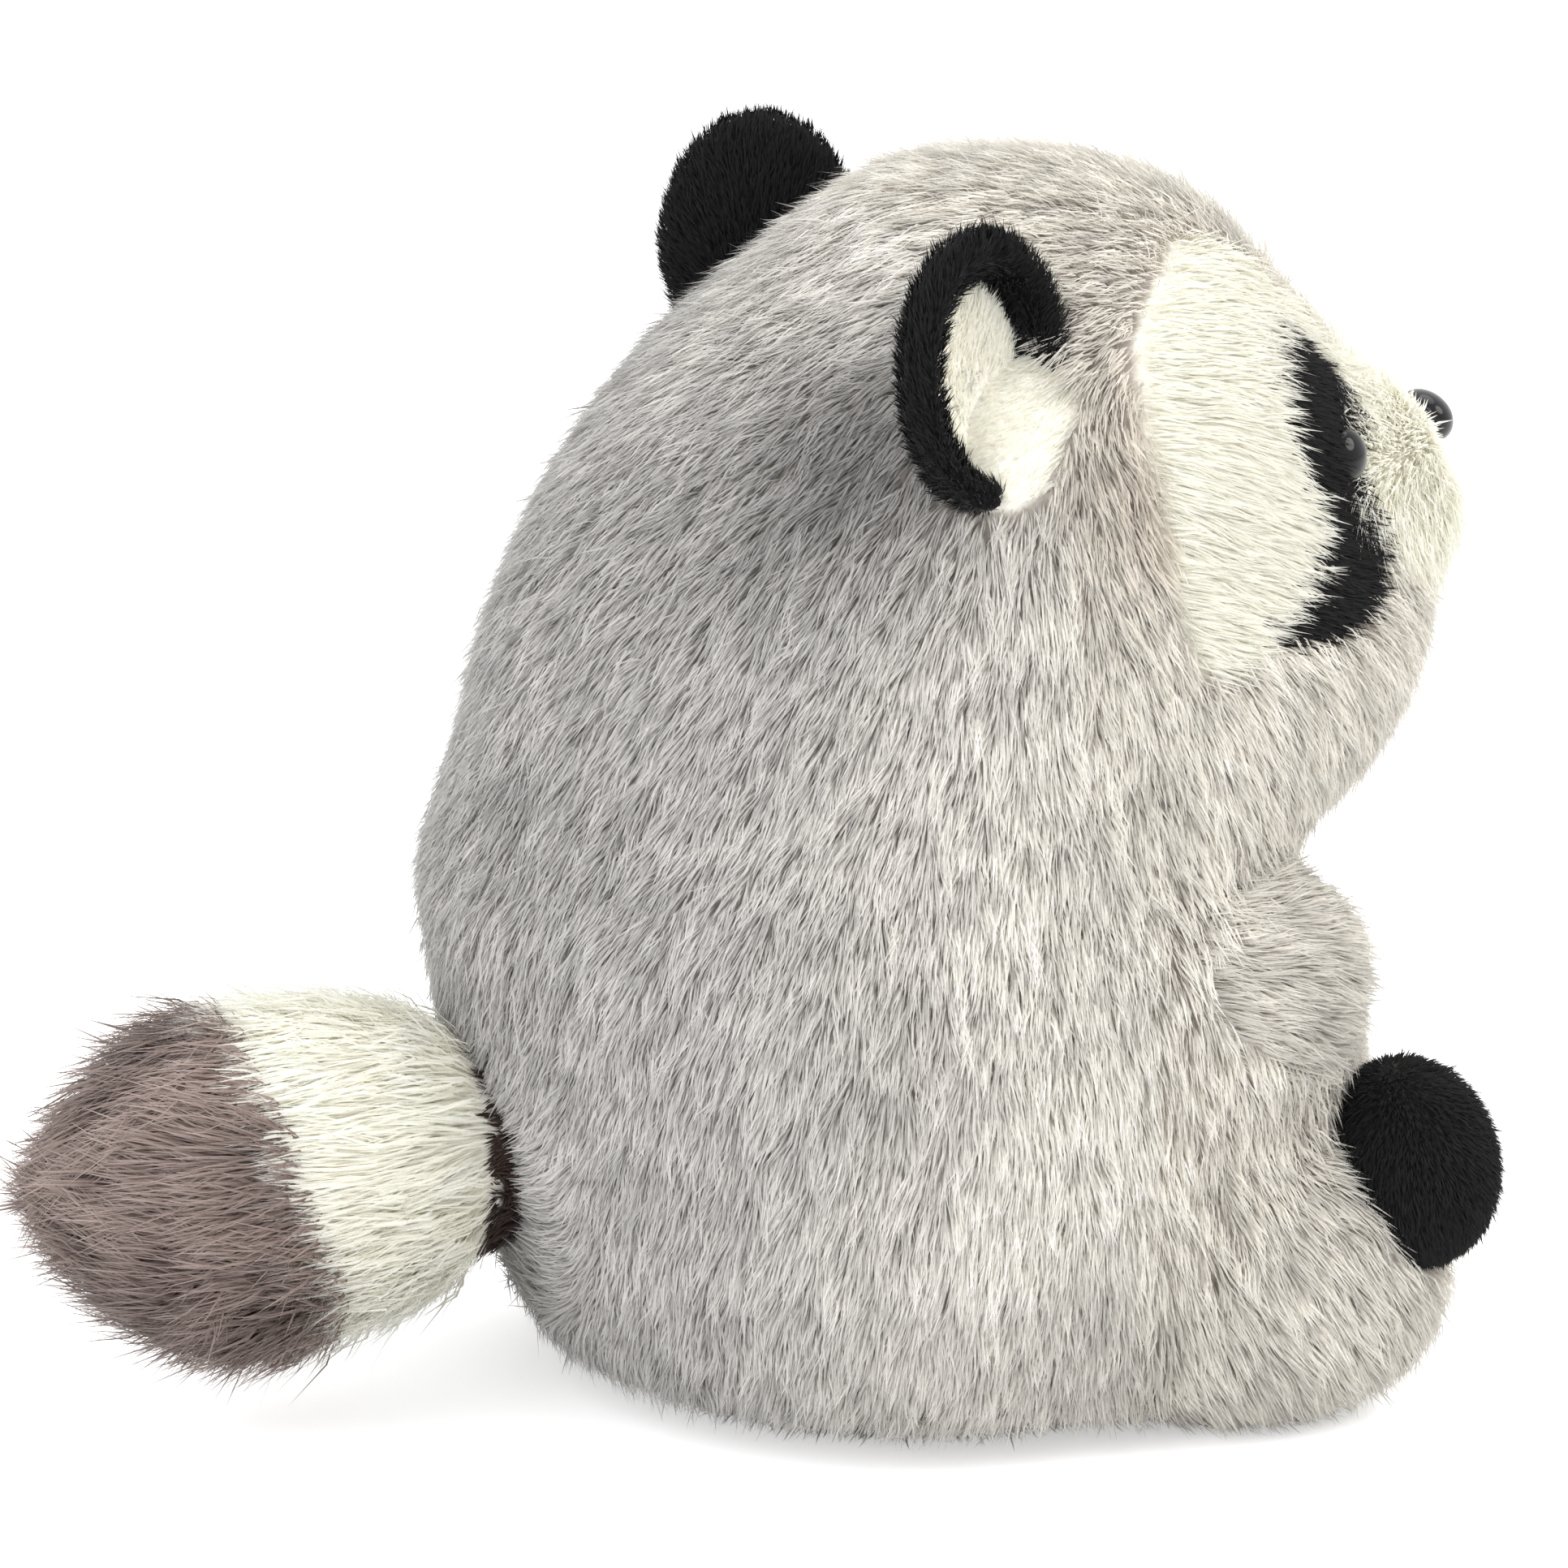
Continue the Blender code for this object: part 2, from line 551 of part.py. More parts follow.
back_side = [(s, bowl(s) - EAR_FABRIC) for s in (0, 0.4, 0.7, 0.9)]
ear_profile = (back_side + [(1.0, 0), (0.96, 0.8 * EAR_FABRIC), (0.88, EAR_FABRIC),
                            (rim_in, 0.5 * EAR_FABRIC), (rim_in, bowl(rim_in)), (0.4, bowl(0.4)),
                            (0, bowl(0))])
ear_shell = turned("ear_shell", ear_profile, ear_place, sides=18, scale=ear_scale)
lining_edge = rim_in - SEAM_GAP / EAR_HALF_WIDTH
lining_profile = [(0, bowl(0, SEAM_GAP)), (0.4, bowl(0.4, SEAM_GAP)),
                  (lining_edge, bowl(rim_in, SEAM_GAP)), (lining_edge, bowl(rim_in, 0.6 * EAR_LINING)),
                  (0.4, bowl(0.4, EAR_LINING)), (0, bowl(0, EAR_LINING))]
ear_pad = turned("ear_pad", lining_profile, ear_place, sides=18, scale=ear_scale)
ear_outer = carve("ear_outer_left", ear_shell, [("DIFFERENCE", clear)], black_pile)
ear_inner = carve("ear_inner_left", ear_pad, [("DIFFERENCE", clear)], white_pile)
mirrored("ear_outer_right", ear_outer)
mirrored("ear_inner_right", ear_inner)

# Arms: a pile cover open to the body, with its own filling
arm_turn = Matrix.Rotation(math.radians(-ARM_TURN), 3, "Z")
arm_centre = Vector((ARM_SIDE, ARM_Y, ARM_HEIGHT))
arm_radii = Vector((ARM_HALF_WIDTH, ARM_HALF_LENGTH, ARM_HALF_HEIGHT))


def shrunk(radii, by):
    return [r - by for r in radii]


def limb_ball(name, centre, radii, by, turn=None, squareness=1.0):
    return rounded(name, centre, shrunk(radii, by), turn, squareness, sides=16, rings=8)


arm_outer = limb_ball("arm_outer_guide", arm_centre, arm_radii, 0, arm_turn, 0.9)
arm_inner = limb_ball("arm_inner_guide", arm_centre, arm_radii, LIMB_PILE, arm_turn, 0.9)
arm_core = limb_ball("arm_core_guide", arm_centre, arm_radii, LIMB_PILE + SEAM_GAP, arm_turn, 0.9)
arm = carve("arm_left", arm_outer, [("DIFFERENCE", arm_inner), ("DIFFERENCE", clear)], grey_pile)
arm_filling = carve("arm_filling_left", arm_core, [("DIFFERENCE", clear)], fibre)
mirrored("arm_right", arm)
mirrored("arm_filling_right", arm_filling)

# Legs: one stuffed limb, grey up to the foot and black beyond it
leg_centre = Vector((LEG_SIDE, LEG_Y, LEG_HALF_HEIGHT))
leg_radii = Vector((LEG_HALF_WIDTH, LEG_HALF_LENGTH, LEG_HALF_HEIGHT))
foot_turn = Matrix.Rotation(math.radians(-FOOT_TILT), 3, "X")
foot_centre = leg_centre + Vector((FOOT_OUTWARD, -FOOT_FORWARD, FOOT_RISE))
foot_radii = Vector((FOOT_HALF_WIDTH, FOOT_HALF_LENGTH, FOOT_HALF_HEIGHT))


def limb(name, by):
    leg_part = limb_ball(name + "_leg", leg_centre, leg_radii, by, None, 0.88)
    foot_part = limb_ball(name + "_foot", foot_centre, foot_radii, by, foot_turn)
    return carve(name, leg_part, [("UNION", foot_part)])


limb_outer, limb_inner, limb_core = (limb("limb_outer_guide", 0), limb("limb_inner_guide", LIMB_PILE),
                                     limb("limb_core_guide", LIMB_PILE + SEAM_GAP))
sole_in = limb_ball("sole_cut", foot_centre, foot_radii, -LIMB_PILE * 0.2 + SEAM_GAP, foot_turn)
sole_out = limb_ball("sole_clear", foot_centre, foot_radii, -LIMB_PILE * 0.2, foot_turn)
cover = carve("limb_cover_guide", limb_outer, [("DIFFERENCE", limb_inner), ("DIFFERENCE", clear)])
leg = carve("leg_left", cover, [("DIFFERENCE", sole_out)], grey_pile)
foot = carve("foot_left", cover, [("INTERSECT", sole_in)], black_pile)
leg_filling = carve("leg_filling_left", limb_core, [("DIFFERENCE", clear)], fibre)
mirrored("leg_right", leg)
mirrored("foot_right", foot)
mirrored("leg_filling_right", leg_filling)


# Tail: three bands of long pile over one filling
def tail_solid(name, by, sides=18):
    rows = curve_through(TAIL_PROFILE, np.arange(len(TAIL_PROFILE) - 1))
    length = TAIL_LENGTH - by
    loops = []
    for share, r in rows:
        y = TAIL_START + share * length
        radius = max(r * TAIL_RADIUS - by, 0.0006)
        z = TAIL_HEIGHT - TAIL_DROOP * share
        loops.append([(TAIL_FLATNESS * radius * math.cos(a), y, z + radius * math.sin(a))
                      for a in np.arange(sides) * 2 * math.pi / sides])
    bm = bmesh.new()
    tip = (0, TAIL_START + length, TAIL_HEIGHT - TAIL_DROOP)
    add_rings(bm, loops, end_point=tip)
    return add_object(name, bm)


tail_outer, tail_inner, tail_core = (tail_solid("tail_outer_guide", 0),
                                     tail_solid("tail_inner_guide", TAIL_PILE),
                                     tail_solid("tail_core_guide", TAIL_PILE + SEAM_GAP))
tail_cover = carve("tail_cover_guide", tail_outer, [("DIFFERENCE", tail_inner), ("DIFFERENCE", clear)])


root_end = TAIL_START + ROOT_BAND


def tip_seam(z):
    return root_end + WHITE_BAND + TIP_SEAM_SLOPE * (z - TAIL_HEIGHT)


low, high = TAIL_HEIGHT - 2 * TAIL_RADIUS, TAIL_HEIGHT + 2 * TAIL_RADIUS
root_region = prism_x("root_region", [(0, low), (root_end - half, low),
                                      (root_end - half, high), (0, high)], -far, far)
white_region = prism_x("white_region", [(root_end + half, low), (tip_seam(low) - half, low),
                                        (tip_seam(high) - half, high), (root_end + half, high)],
                       -far, far)
tip_region = prism_x("tip_region", [(tip_seam(low) + half, low), (far, low), (far, high),
                                    (tip_seam(high) + half, high)], -far, far)
carve("tail_root_band", tail_cover, [("INTERSECT", root_region)], brown_pile)
carve("tail_white_band", tail_cover, [("INTERSECT", white_region)], white_pile)
carve("tail_tip_band", tail_cover, [("INTERSECT", tip_region)], taupe_pile)
carve("tail_filling", tail_core, [("DIFFERENCE", clear)], fibre)
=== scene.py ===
# Seated plush raccoon: every panel gets its pile as single strands, grown from a stuffed skin.
# Metres, +Z up, the face looks along -Y. The sizes below repeat the named sizes of the CAD source.
import math

import bpy
import numpy as np
from mathutils import Matrix, Vector


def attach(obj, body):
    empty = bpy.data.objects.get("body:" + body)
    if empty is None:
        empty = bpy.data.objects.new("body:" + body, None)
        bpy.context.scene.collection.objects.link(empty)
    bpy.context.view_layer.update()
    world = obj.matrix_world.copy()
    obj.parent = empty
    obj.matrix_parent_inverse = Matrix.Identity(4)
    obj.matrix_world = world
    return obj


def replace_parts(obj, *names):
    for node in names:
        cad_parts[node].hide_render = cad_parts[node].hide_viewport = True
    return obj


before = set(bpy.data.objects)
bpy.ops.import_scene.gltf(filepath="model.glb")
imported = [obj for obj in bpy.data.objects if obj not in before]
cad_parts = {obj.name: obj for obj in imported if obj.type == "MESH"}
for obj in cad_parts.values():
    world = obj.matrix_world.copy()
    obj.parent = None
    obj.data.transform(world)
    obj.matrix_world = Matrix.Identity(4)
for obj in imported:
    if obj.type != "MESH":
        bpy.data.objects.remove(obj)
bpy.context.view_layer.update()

scene = bpy.context.scene
scene.view_settings.view_transform = "Standard"
print("raccoon: frame loaded,", len(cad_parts), "nodes")

bodyHeight, bodyHalfWidth, bodyDepth = 0.2355, 0.088, 0.097
backingGrey, backingCream, backingBlack = "B4ACA4", "FAF8EF", "0A0A0B"


# sRGB hex to linear: v / 12.92 near black, else ((v + 0.055) / 1.055) ^ 2.4
def linearColour(hexText):
    v = np.array([int(hexText[i:i + 2], 16) for i in (0, 2, 4)]) / 255
    return np.where(v <= 0.04045, v / 12.92, ((v + 0.055) / 1.055) ** 2.4)


# 0 below low, 1 above high, and 3f^2 - 2f^3 between them
def smoothStep(v, low, high):
    f = np.clip((v - low) / (high - low), 0, 1)
    return f * f * (3 - 2 * f)


def unit(v):
    return v / np.maximum(np.linalg.norm(v, axis=-1, keepdims=True), 1e-9)


# Soft noise from -1 to 1: random values on a lattice of the given step, mixed smoothly between corners
def softNoise(p, step, seed):
    table = np.random.default_rng(seed).uniform(-1, 1, (32, 32, 32))
    q = p / step + 100
    i = np.floor(q).astype(int)
    f = q - i
    f = f * f * (3 - 2 * f)
    total = 0
    for a in (0, 1):
        for b in (0, 1):
            for c in (0, 1):
                share = (abs(1 - a - f[:, 0]) * abs(1 - b - f[:, 1]) * abs(1 - c - f[:, 2]))
                total = total + share * table[(i[:, 0] + a) % 32, (i[:, 1] + b) % 32, (i[:, 2] + c) % 32]
    return total


# Slope of that noise, from its change over a tenth of a step each way
def noiseSlope(p, step, seed):
    h = step * 0.1
    here = softNoise(p, step, seed)
    return here, np.stack([(softNoise(p + h * np.eye(3)[k], step, seed) - here) / h for k in range(3)], 1) * step


# A smooth curve through rows of values: half of 2b + (c-a)f + (2a-5b+4c-d)f^2 + (3b-a-3c+d)f^3
def curveThrough(rows, t, closed=False):
    p = np.array(rows, float)
    n = len(p)
    t = np.asarray(t, float)
    if closed:
        i = np.floor(t).astype(int)
        a, b, c, d = (p[(i + k) % n] for k in (-1, 0, 1, 2))
    else:
        i = np.clip(np.floor(t).astype(int), 0, n - 2)
        p = np.vstack([2 * p[0] - p[1], p, 2 * p[-1] - p[-2]])
        a, b, c, d = p[i], p[i + 1], p[i + 2], p[i + 3]
    f = (t - i)[..., None]
    return 0.5 * (2 * b + (c - a) * f + (2 * a - 5 * b + 4 * c - d) * f ** 2 + (3 * b - a - 3 * c + d) * f ** 3)


# Camera: stands off along azimuth and elevation; the aim is moved so that the origin falls on its pixel
shot = dict(azimuth=-110, elevation=16, distance=1.5, pixelsPerMetre=6360, originPixel=(1135, 1663), image=1932)


def makeCamera():
    az, el = math.radians(shot["azimuth"]), math.radians(shot["elevation"])
    back = Vector((math.sin(az) * math.cos(el), -math.cos(az) * math.cos(el), math.sin(el)))
    right = Vector((math.cos(az), math.sin(az), 0))
    up = back.cross(right)
    middle = shot["image"] / 2
    aim = (right * (middle - shot["originPixel"][0])
           + up * (shot["originPixel"][1] - middle)) / shot["pixelsPerMetre"]
    data = bpy.data.cameras.new("camera")
    data.lens = data.sensor_width * shot["pixelsPerMetre"] * shot["distance"] / shot["image"]
    cam = bpy.data.objects.new("camera", data)
    scene.collection.objects.link(cam)
    turn = Matrix((right, up, back)).transposed().to_4x4()
    cam.matrix_world = Matrix.Translation(aim + back * shot["distance"]) @ turn
    scene.camera = cam
    return right, up, back


camRight, camUp, camBack = makeCamera()


# One node: its settings by name, and for each input by name or number a socket or a value
def addNode(tree, kind, settings=None, feeds=None):
    node = tree.nodes.new("ShaderNode" + kind)
    for key, value in (settings or {}).items():
        setattr(node, key, value)
    for key, value in (feeds or {}).items():
        if isinstance(value, bpy.types.NodeSocket):
            tree.links.new(value, node.inputs[key])
        else:
            node.inputs[key].default_value = value
    return node


def newMaterial(name, **values):
    mat = bpy.data.materials.new(name)
    mat.use_nodes = True
    shader = mat.node_tree.nodes["Principled BSDF"]
    for key, value in values.items():
        shader.inputs[key.replace("_", " ")].default_value = value
    return mat, mat.node_tree, shader


# Knitted acrylic pile, sheared and brushed: matt fibres with a faint silky sheen. Its colour comes
# strand by strand from the attribute "tint"; noise of fibre size breaks it up along each strand.
def pileMaterial(name, sheen, roughness, translucent=0.42, fibre=0.0006, dim=0.90):
    mat, tree, shader = newMaterial(name, Sheen_Weight=sheen, Sheen_Roughness=0.45, Specular_IOR_Level=0.25)
    tint = addNode(tree, "Attribute", dict(attribute_name="tint"))
    place = addNode(tree, "TexCoord")
    grain = addNode(tree, "TexNoise", dict(noise_dimensions="3D"),
                    {"Vector": place.outputs["Object"], "Scale": 1 / fibre, "Detail": 2.0})
    level = addNode(tree, "MapRange", None, {"Value": grain.outputs["Fac"], "From Min": 0.3, "From Max": 0.7,
                                             "To Min": dim, "To Max": 1.07})
    shade = addNode(tree, "VectorMath", dict(operation="SCALE"),
                    {0: tint.outputs["Color"], "Scale": level.outputs["Result"]})
    tree.links.new(shade.outputs["Vector"], shader.inputs["Base Color"])
    rough = addNode(tree, "MapRange", None, {"Value": grain.outputs["Fac"], "From Min": 0.3, "From Max": 0.7,
                                             "To Min": roughness - 0.08, "To Max": roughness + 0.06})
    tree.links.new(rough.outputs["Result"], shader.inputs["Roughness"])
    # light also passes through the fibres
    through = addNode(tree, "BsdfTranslucent", None, {"Color": shade.outputs["Vector"]})
    both = addNode(tree, "MixShader", None, {0: translucent, 1: shader.outputs["BSDF"], 2: through.outputs["BSDF"]})
    tree.links.new(both.outputs["Shader"], tree.nodes["Material Output"].inputs["Surface"])
    return mat


# Knitted polyester backing under the pile: rows of loops 1.2 mm apart, seen as dim ribs between strands
def backingMaterial(name):
    mat, tree, shader = newMaterial(name, Specular_IOR_Level=0.2, Sheen_Weight=0.1)
    tint = addNode(tree, "Attribute", dict(attribute_name="tint"))
    place = addNode(tree, "TexCoord")
    loops = addNode(tree, "TexVoronoi", None, {"Vector": place.outputs["Object"], "Scale": 1 / 0.0012})
    level = addNode(tree, "MapRange", None, {"Value": loops.outputs["Distance"], "From Min": 0.0, "From Max": 0.8,
                                             "To Min": 1.0, "To Max": 0.85})
    shade = addNode(tree, "VectorMath", dict(operation="SCALE"),
                    {0: tint.outputs["Color"], "Scale": level.outputs["Result"]})
    tree.links.new(shade.outputs["Vector"], shader.inputs["Base Color"])
    rough = addNode(tree, "MapRange", None, {"Value": loops.outputs["Distance"], "To Min": 0.8, "To Max": 0.95})
    tree.links.new(rough.outputs["Result"], shader.inputs["Roughness"])
    bump = addNode(tree, "Bump", None, {"Height": loops.outputs["Distance"], "Strength": 0.5, "Distance": 0.0004})
    tree.links.new(bump.outputs["Normal"], shader.inputs["Normal"])
    return mat


pileGrey = pileMaterial("brushed_acrylic_pile_grey", 0.25, 0.85)
pileCream = pileMaterial("brushed_acrylic_pile_cream", 0.2, 0.85, 0.5, dim=0.97)
pileBlack = pileMaterial("short_velboa_pile_black", 0.06, 0.9, 0.1)
pileTaupe = pileMaterial("long_acrylic_pile_taupe", 0.2, 0.85)
pileBrown = pileMaterial("long_acrylic_pile_brown", 0.15, 0.85)
backing = backingMaterial("knitted_polyester_backing")


# Places, normals and the grid itself of a skin; the grid's columns run round and its rows along
def skinOf(grid):
    across = np.gradient(grid, axis=1)
    if np.allclose(grid[:, 0], grid[:, -1], atol=1e-6):
        across[:, 0] = across[:, -1] = (across[:, 0] + across[:, -1]) / 2
    along = np.gradient(grid, axis=0)
    return dict(grid=grid, normals=unit(np.cross(across, along)))


# Even roots over a skin: a cell is picked by its area, a place inside it at random, and position and
# normal are mixed from the cell's corners; the third result is the row with its fraction
def scatter(skin, perSquareMetre, rng):
    g = skin["grid"]
    area = np.linalg.norm(np.cross(g[1:, 1:] - g[:-1, :-1], g[1:, :-1] - g[:-1, 1:]), axis=-1) / 2
    total = np.cumsum(area)
    count = int(total[-1] * perSquareMetre)
    cell = np.searchsorted(total, rng.random(count) * total[-1])
    cell = np.minimum(cell, len(total) - 1)
    row, col = cell // area.shape[1], cell % area.shape[1]
    u, v = rng.random(count)[:, None], rng.random(count)[:, None]
    mixed = [((1 - v) * ((1 - u) * a[row, col] + u * a[row, col + 1])
              + v * ((1 - u) * a[row + 1, col] + u * a[row + 1, col + 1])) for a in (g, skin["normals"])]
    return mixed[0], unit(mixed[1]), row + v[:, 0]


def newPiece(name, points, faces, mat, tints):
    mesh = bpy.data.meshes.new(name)
    mesh.from_pydata(points, [], faces)
    mesh.materials.append(mat)
    if tints is not None:
        layer = mesh.attributes.new("tint", "FLOAT_COLOR", "POINT")
        layer.data.foreach_set("color", np.column_stack([tints, np.ones(len(tints))]).astype(np.float32).ravel())
    mesh.shade_smooth()
    return placePiece(name, mesh)


def placePiece(name, mesh):
    piece = bpy.data.objects.new(name, mesh)
    scene.collection.objects.link(piece)
    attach(piece, "root")
    return piece


# A closed piece from a grid whose first and last rows are points and whose columns close on themselves
def gridPiece(name, grid, mat, tints):
    g = grid[:, :-1]
    rows, cols = g.shape[:2]
    inner = g[1:-1].reshape(-1, 3)
    points = np.vstack([g[0, :1], inner, g[-1, :1]])
    r, c = np.meshgrid(np.arange(rows - 3), np.arange(cols), indexing="ij")
    n = (c + 1) % cols
    quads = np.stack([1 + r * cols + c, 1 + r * cols + n, 1 + (r + 1) * cols + n, 1 + (r + 1) * cols + c], -1)
    k = np.arange(cols)
    m = (k + 1) % cols
    last = 1 + (rows - 3) * cols
    ends = [np.stack([0 * k, 1 + m, 1 + k], 1), np.stack([0 * k + len(points) - 1, last + k, last + m], 1)]
    faces = [row for block in (quads.reshape(-1, 4), *ends) for row in block.tolist()]
    if tints is not None:
        t = tints[:, :-1]
        tints = np.vstack([t[0, :1], t[1:-1].reshape(-1, 3), t[-1, :1]])
    return newPiece(name, points, faces, mat, tints)


# A stuffed skin of knitted backing that stands for its CAD nodes
def stuffedSkin(name, grid, tints, nodes):
    piece = gridPiece(name, grid, backing, tints)
    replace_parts(piece, *nodes)


# What all strands share: spread of lift and bend in degrees, what a stray adds to them, spread of the
# width, depth of the foot in the skin, lowest heights of foot, middle and tip, width of a large patch
strand = dict(liftSpread=9, bendSpread=8, strayLift=12, strayBend=22, widthSpread=0.25, sunk=0.0004,
              lowest=(0.0005, 0.0004, 0.0003), patchWidth=0.016)


# Pile: each strand is a kite of two triangles. The lower half rises from the root between the skin's
# normal and the lie of the pile, the upper half lies flatter; tips are drawn together along the slope
# of a noise as wide as a tuft, and the blade is turned about its length. Root, middle and tip each
# have their tint, the root darker: partly the fibre's own colour, partly painted shade of the pile's depth.
# Strands in the hollows between tufts are darker still: painted shade. The shade given scales all tints;
# for the body's grey panels, the arms and the legs it holds painted shade beside the pile's own tone.
def growPile(name, look, roots, normals, flow, rng, mat, nodes, shade=None, lengthShare=1):
    n = len(roots)
    lie = unit(flow - normals * np.sum(flow * normals, 1, keepdims=True))
    side = np.cross(lie, normals)
    wander = look["wander"] * (softNoise(roots, look["tuft"] * 2.5, 11) + 0.5 * rng.normal(size=n))
    lie = unit(lie + side * wander[:, None])
    hollow, slope = noiseSlope(roots, look["tuft"], 12)
    slope -= normals * np.sum(slope * normals, 1, keepdims=True)
    long = look["length"] * (1 + look["uneven"] * rng.normal(size=n)).clip(0.4, 1.6) * lengthShare
    stray = rng.random(n) < look["strays"]
    lift = np.radians(look["lift"] + strand["liftSpread"] * rng.normal(size=n) + strand["strayLift"] * stray)
    bend = np.radians(look["bend"] + strand["bendSpread"] * rng.normal(size=n) + strand["strayBend"] * stray)
    first = normals * np.sin(lift)[:, None] + lie * np.cos(lift)[:, None]
    second = normals * np.sin(bend)[:, None] + lie * np.cos(bend)[:, None]
    half = (long / 2)[:, None]
    foot = roots - normals * strand["sunk"]
    middle = foot + first * half + slope * (look["clump"] * 0.3)
    tip = middle + unit(second + slope * (look["clump"] / look["length"] * 1.4)) * half
    tip[:, 2] = np.maximum(tip[:, 2], strand["lowest"][2])
    middle[:, 2] = np.maximum(middle[:, 2], strand["lowest"][1])
    foot[:, 2] = np.maximum(foot[:, 2], strand["lowest"][0])
    along = unit(tip - foot)
    wide = unit(np.cross(along, normals))
    flat = np.cross(wide, along)
    turn = (look["twist"] * rng.normal(size=n))[:, None]
    wide, flat = wide * np.cos(turn) + flat * np.sin(turn), flat * np.cos(turn) - wide * np.sin(turn)
    reach = wide * (look["width"] / 2 * (1 + strand["widthSpread"] * rng.normal(size=n)).clip(0.5, 1.6))[:, None]
    # painted shade: strands in the hollows between tufts are darker, by mottle
    tone = 1 + look["mottle"] * hollow + look["speckle"] * rng.normal(size=n)
    tone = tone * (1 + look["patch"] * softNoise(roots, strand["patchWidth"], 13))
    tone = (1 if shade is None else shade) * tone[:, None]
    # the root tint is darker than the tip's: partly the fibre's own colour, partly painted shade of the pile's
    # depth
    tints = np.stack([linearColour(look[k]) * tone for k in ("root", "middle", "middle", "tip")], 1)
    soft = unit(normals * look["soft"] + flat * (1 - look["soft"]))
    mesh = strandMesh(name, np.stack([foot, middle + reach, middle - reach, tip], 1), tints, soft, mat)
    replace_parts(placePiece(name, mesh), *nodes)
    return n


# Mesh of many strands from their four points and tints each; they shade with the given soft normals
def strandMesh(name, points, tints, soft, mat):
    n = len(points)
    start = np.arange(n)[:, None] * 4
    corners = np.concatenate([start + [0, 1, 2], start + [1, 3, 2]], 1)
    mesh = bpy.data.meshes.new(name)
    mesh.vertices.add(n * 4)
    mesh.vertices.foreach_set("co", points.astype(np.float32).ravel())
    mesh.loops.add(n * 6)
    mesh.loops.foreach_set("vertex_index", corners.astype(np.int32).ravel())
    mesh.polygons.add(n * 2)
    mesh.polygons.foreach_set("loop_start", np.arange(0, n * 6, 3, dtype=np.int32))
    mesh.update(calc_edges=True)
    mesh.shade_smooth()
    layer = mesh.attributes.new("tint", "FLOAT_COLOR", "POINT")
    colours = np.concatenate([tints.clip(0.001, 0.97), np.ones((n, 4, 1))], 2)
    layer.data.foreach_set("color", colours.astype(np.float32).ravel())
    # each strand has its own cell of the map, so a bake keeps every strand apart
    cells = math.ceil(math.sqrt(n))
    corner = np.stack([np.arange(n) % cells, np.arange(n) // cells], 1)[:, None] / cells
    shape = np.array([(0.5, 0.06), (0.94, 0.5), (0.06, 0.5), (0.5, 0.94)])[[0, 1, 2, 1, 3, 2]] / cells
    layer = mesh.uv_layers.new(name="OFBake")
    layer.data.foreach_set("uv", (corner + shape).astype(np.float32).ravel())
    mesh.normals_split_custom_set_from_vertices(np.repeat(soft, 4, 0))
    mesh.materials.append(mat)
    return mesh


# Body: level by level the height, front, back and half width as shares of the four sizes
body = dict(
    height=bodyHeight, halfWidth=bodyHalfWidth, back=bodyDepth, front=bodyDepth, inset=0.0040,
    levels=((0.000, 0.557, 0.598, 0.614), (0.022, 0.680, 0.680, 0.739), (0.060, 0.773, 0.814, 0.852),
            (0.170, 0.856, 0.907, 0.977), (0.305, 0.866, 0.969, 1.000), (0.416, 0.722, 1.000, 0.966),
            (0.476, 0.763, 0.969, 0.932), (0.544, 0.938, 0.928, 0.909), (0.628, 1.000, 0.876, 0.886),
            (0.731, 0.835, 0.753, 0.852), (0.833, 0.802, 0.565, 0.773), (0.907, 0.687, 0.350, 0.640),
            (0.958, 0.572, 0.200, 0.480), (0.988, 0.415, 0.080, 0.300), (1.000, 0.200, -0.200, 0.000)),
    muzzleHeight=0.7264 * bodyHeight, muzzleHalfWidth=0.034, muzzleHalfHeight=0.0195, muzzleDepth=0.026,
    muzzleSeamSide=0.0385, muzzleSeamRise=0.026, muzzleSquareness=0.87, baseSeam=0.013, sideSeam=-0.124 * bodyDepth,
    neckLevel=0.4968, neckSeam=0.4968 * bodyHeight, neckDrop=0.170,
    faceSeam=((0.552, -0.031), (0.616, -0.010), (0.769, -0.010), (0.871, 0.052), (0.977, 0.082)),
    foreheadHalfWidth=0.027, foreheadFoot=0.7945 * bodyHeight,
    mask=((36, 0.867), (46, 0.877), (54, 0.841), (54, 0.795), (45, 0.747), (50, 0.704), (66, 0.665),
          (53, 0.650), (39, 0.662), (31, 0.696), (26, 0.743), (27, 0.800), (31, 0.845)),
    cheek=((21, 0.872), (30, 0.903), (42, 0.934), (58, 0.943), (76, 0.921), (86, 0.887), (85, 0.815), (80, 0.760),
           (78, 0.702), (77, 0.636), (68, 0.660), (46, 0.712), (38, 0.765), (24, 0.775), (19, 0.820)),
    columns=128, rows=120,
)


def bodyRows(inset):
    rows = []
    for up, front, back, wide in body["levels"]:
        front, back = -front * body["front"], back * body["back"]
        depth = max((back - front) / 2 - inset, 0) if wide else 0
        rows.append((inset + up * (body["height"] - 2 * inset), (front + back) / 2, depth,
                     max(wide * body["halfWidth"] - inset, 0) if wide else 0))
    return rows


# Body skin: at a level the ring is x = wide sin a, y = middle - depth cos a, and the base closes it
# in rings that shrink; the muzzle swells forward by its depth times exp(-(side^2.4 + rise^2.4)^1.1)
def bodySurface(angle, t, inset):
    up, middle, depth, wide = np.moveaxis(curveThrough(bodyRows(inset), np.maximum(t, 0)), -1, 0)
    share = np.minimum(1 + t, 1)
    x = share * wide * np.sin(angle)
    y = middle - share * depth * np.cos(angle)
    spread = ((np.abs(x) / body["muzzleHalfWidth"]) ** 2.4
              + (np.abs(up - body["muzzleHeight"]) / body["muzzleHalfHeight"]) ** 2.4)
    y = y - np.where(np.cos(angle) > 0, body["muzzleDepth"] * np.exp(-spread ** 1.1), 0)
    return np.stack(np.broadcast_arrays(x, y, up), -1)


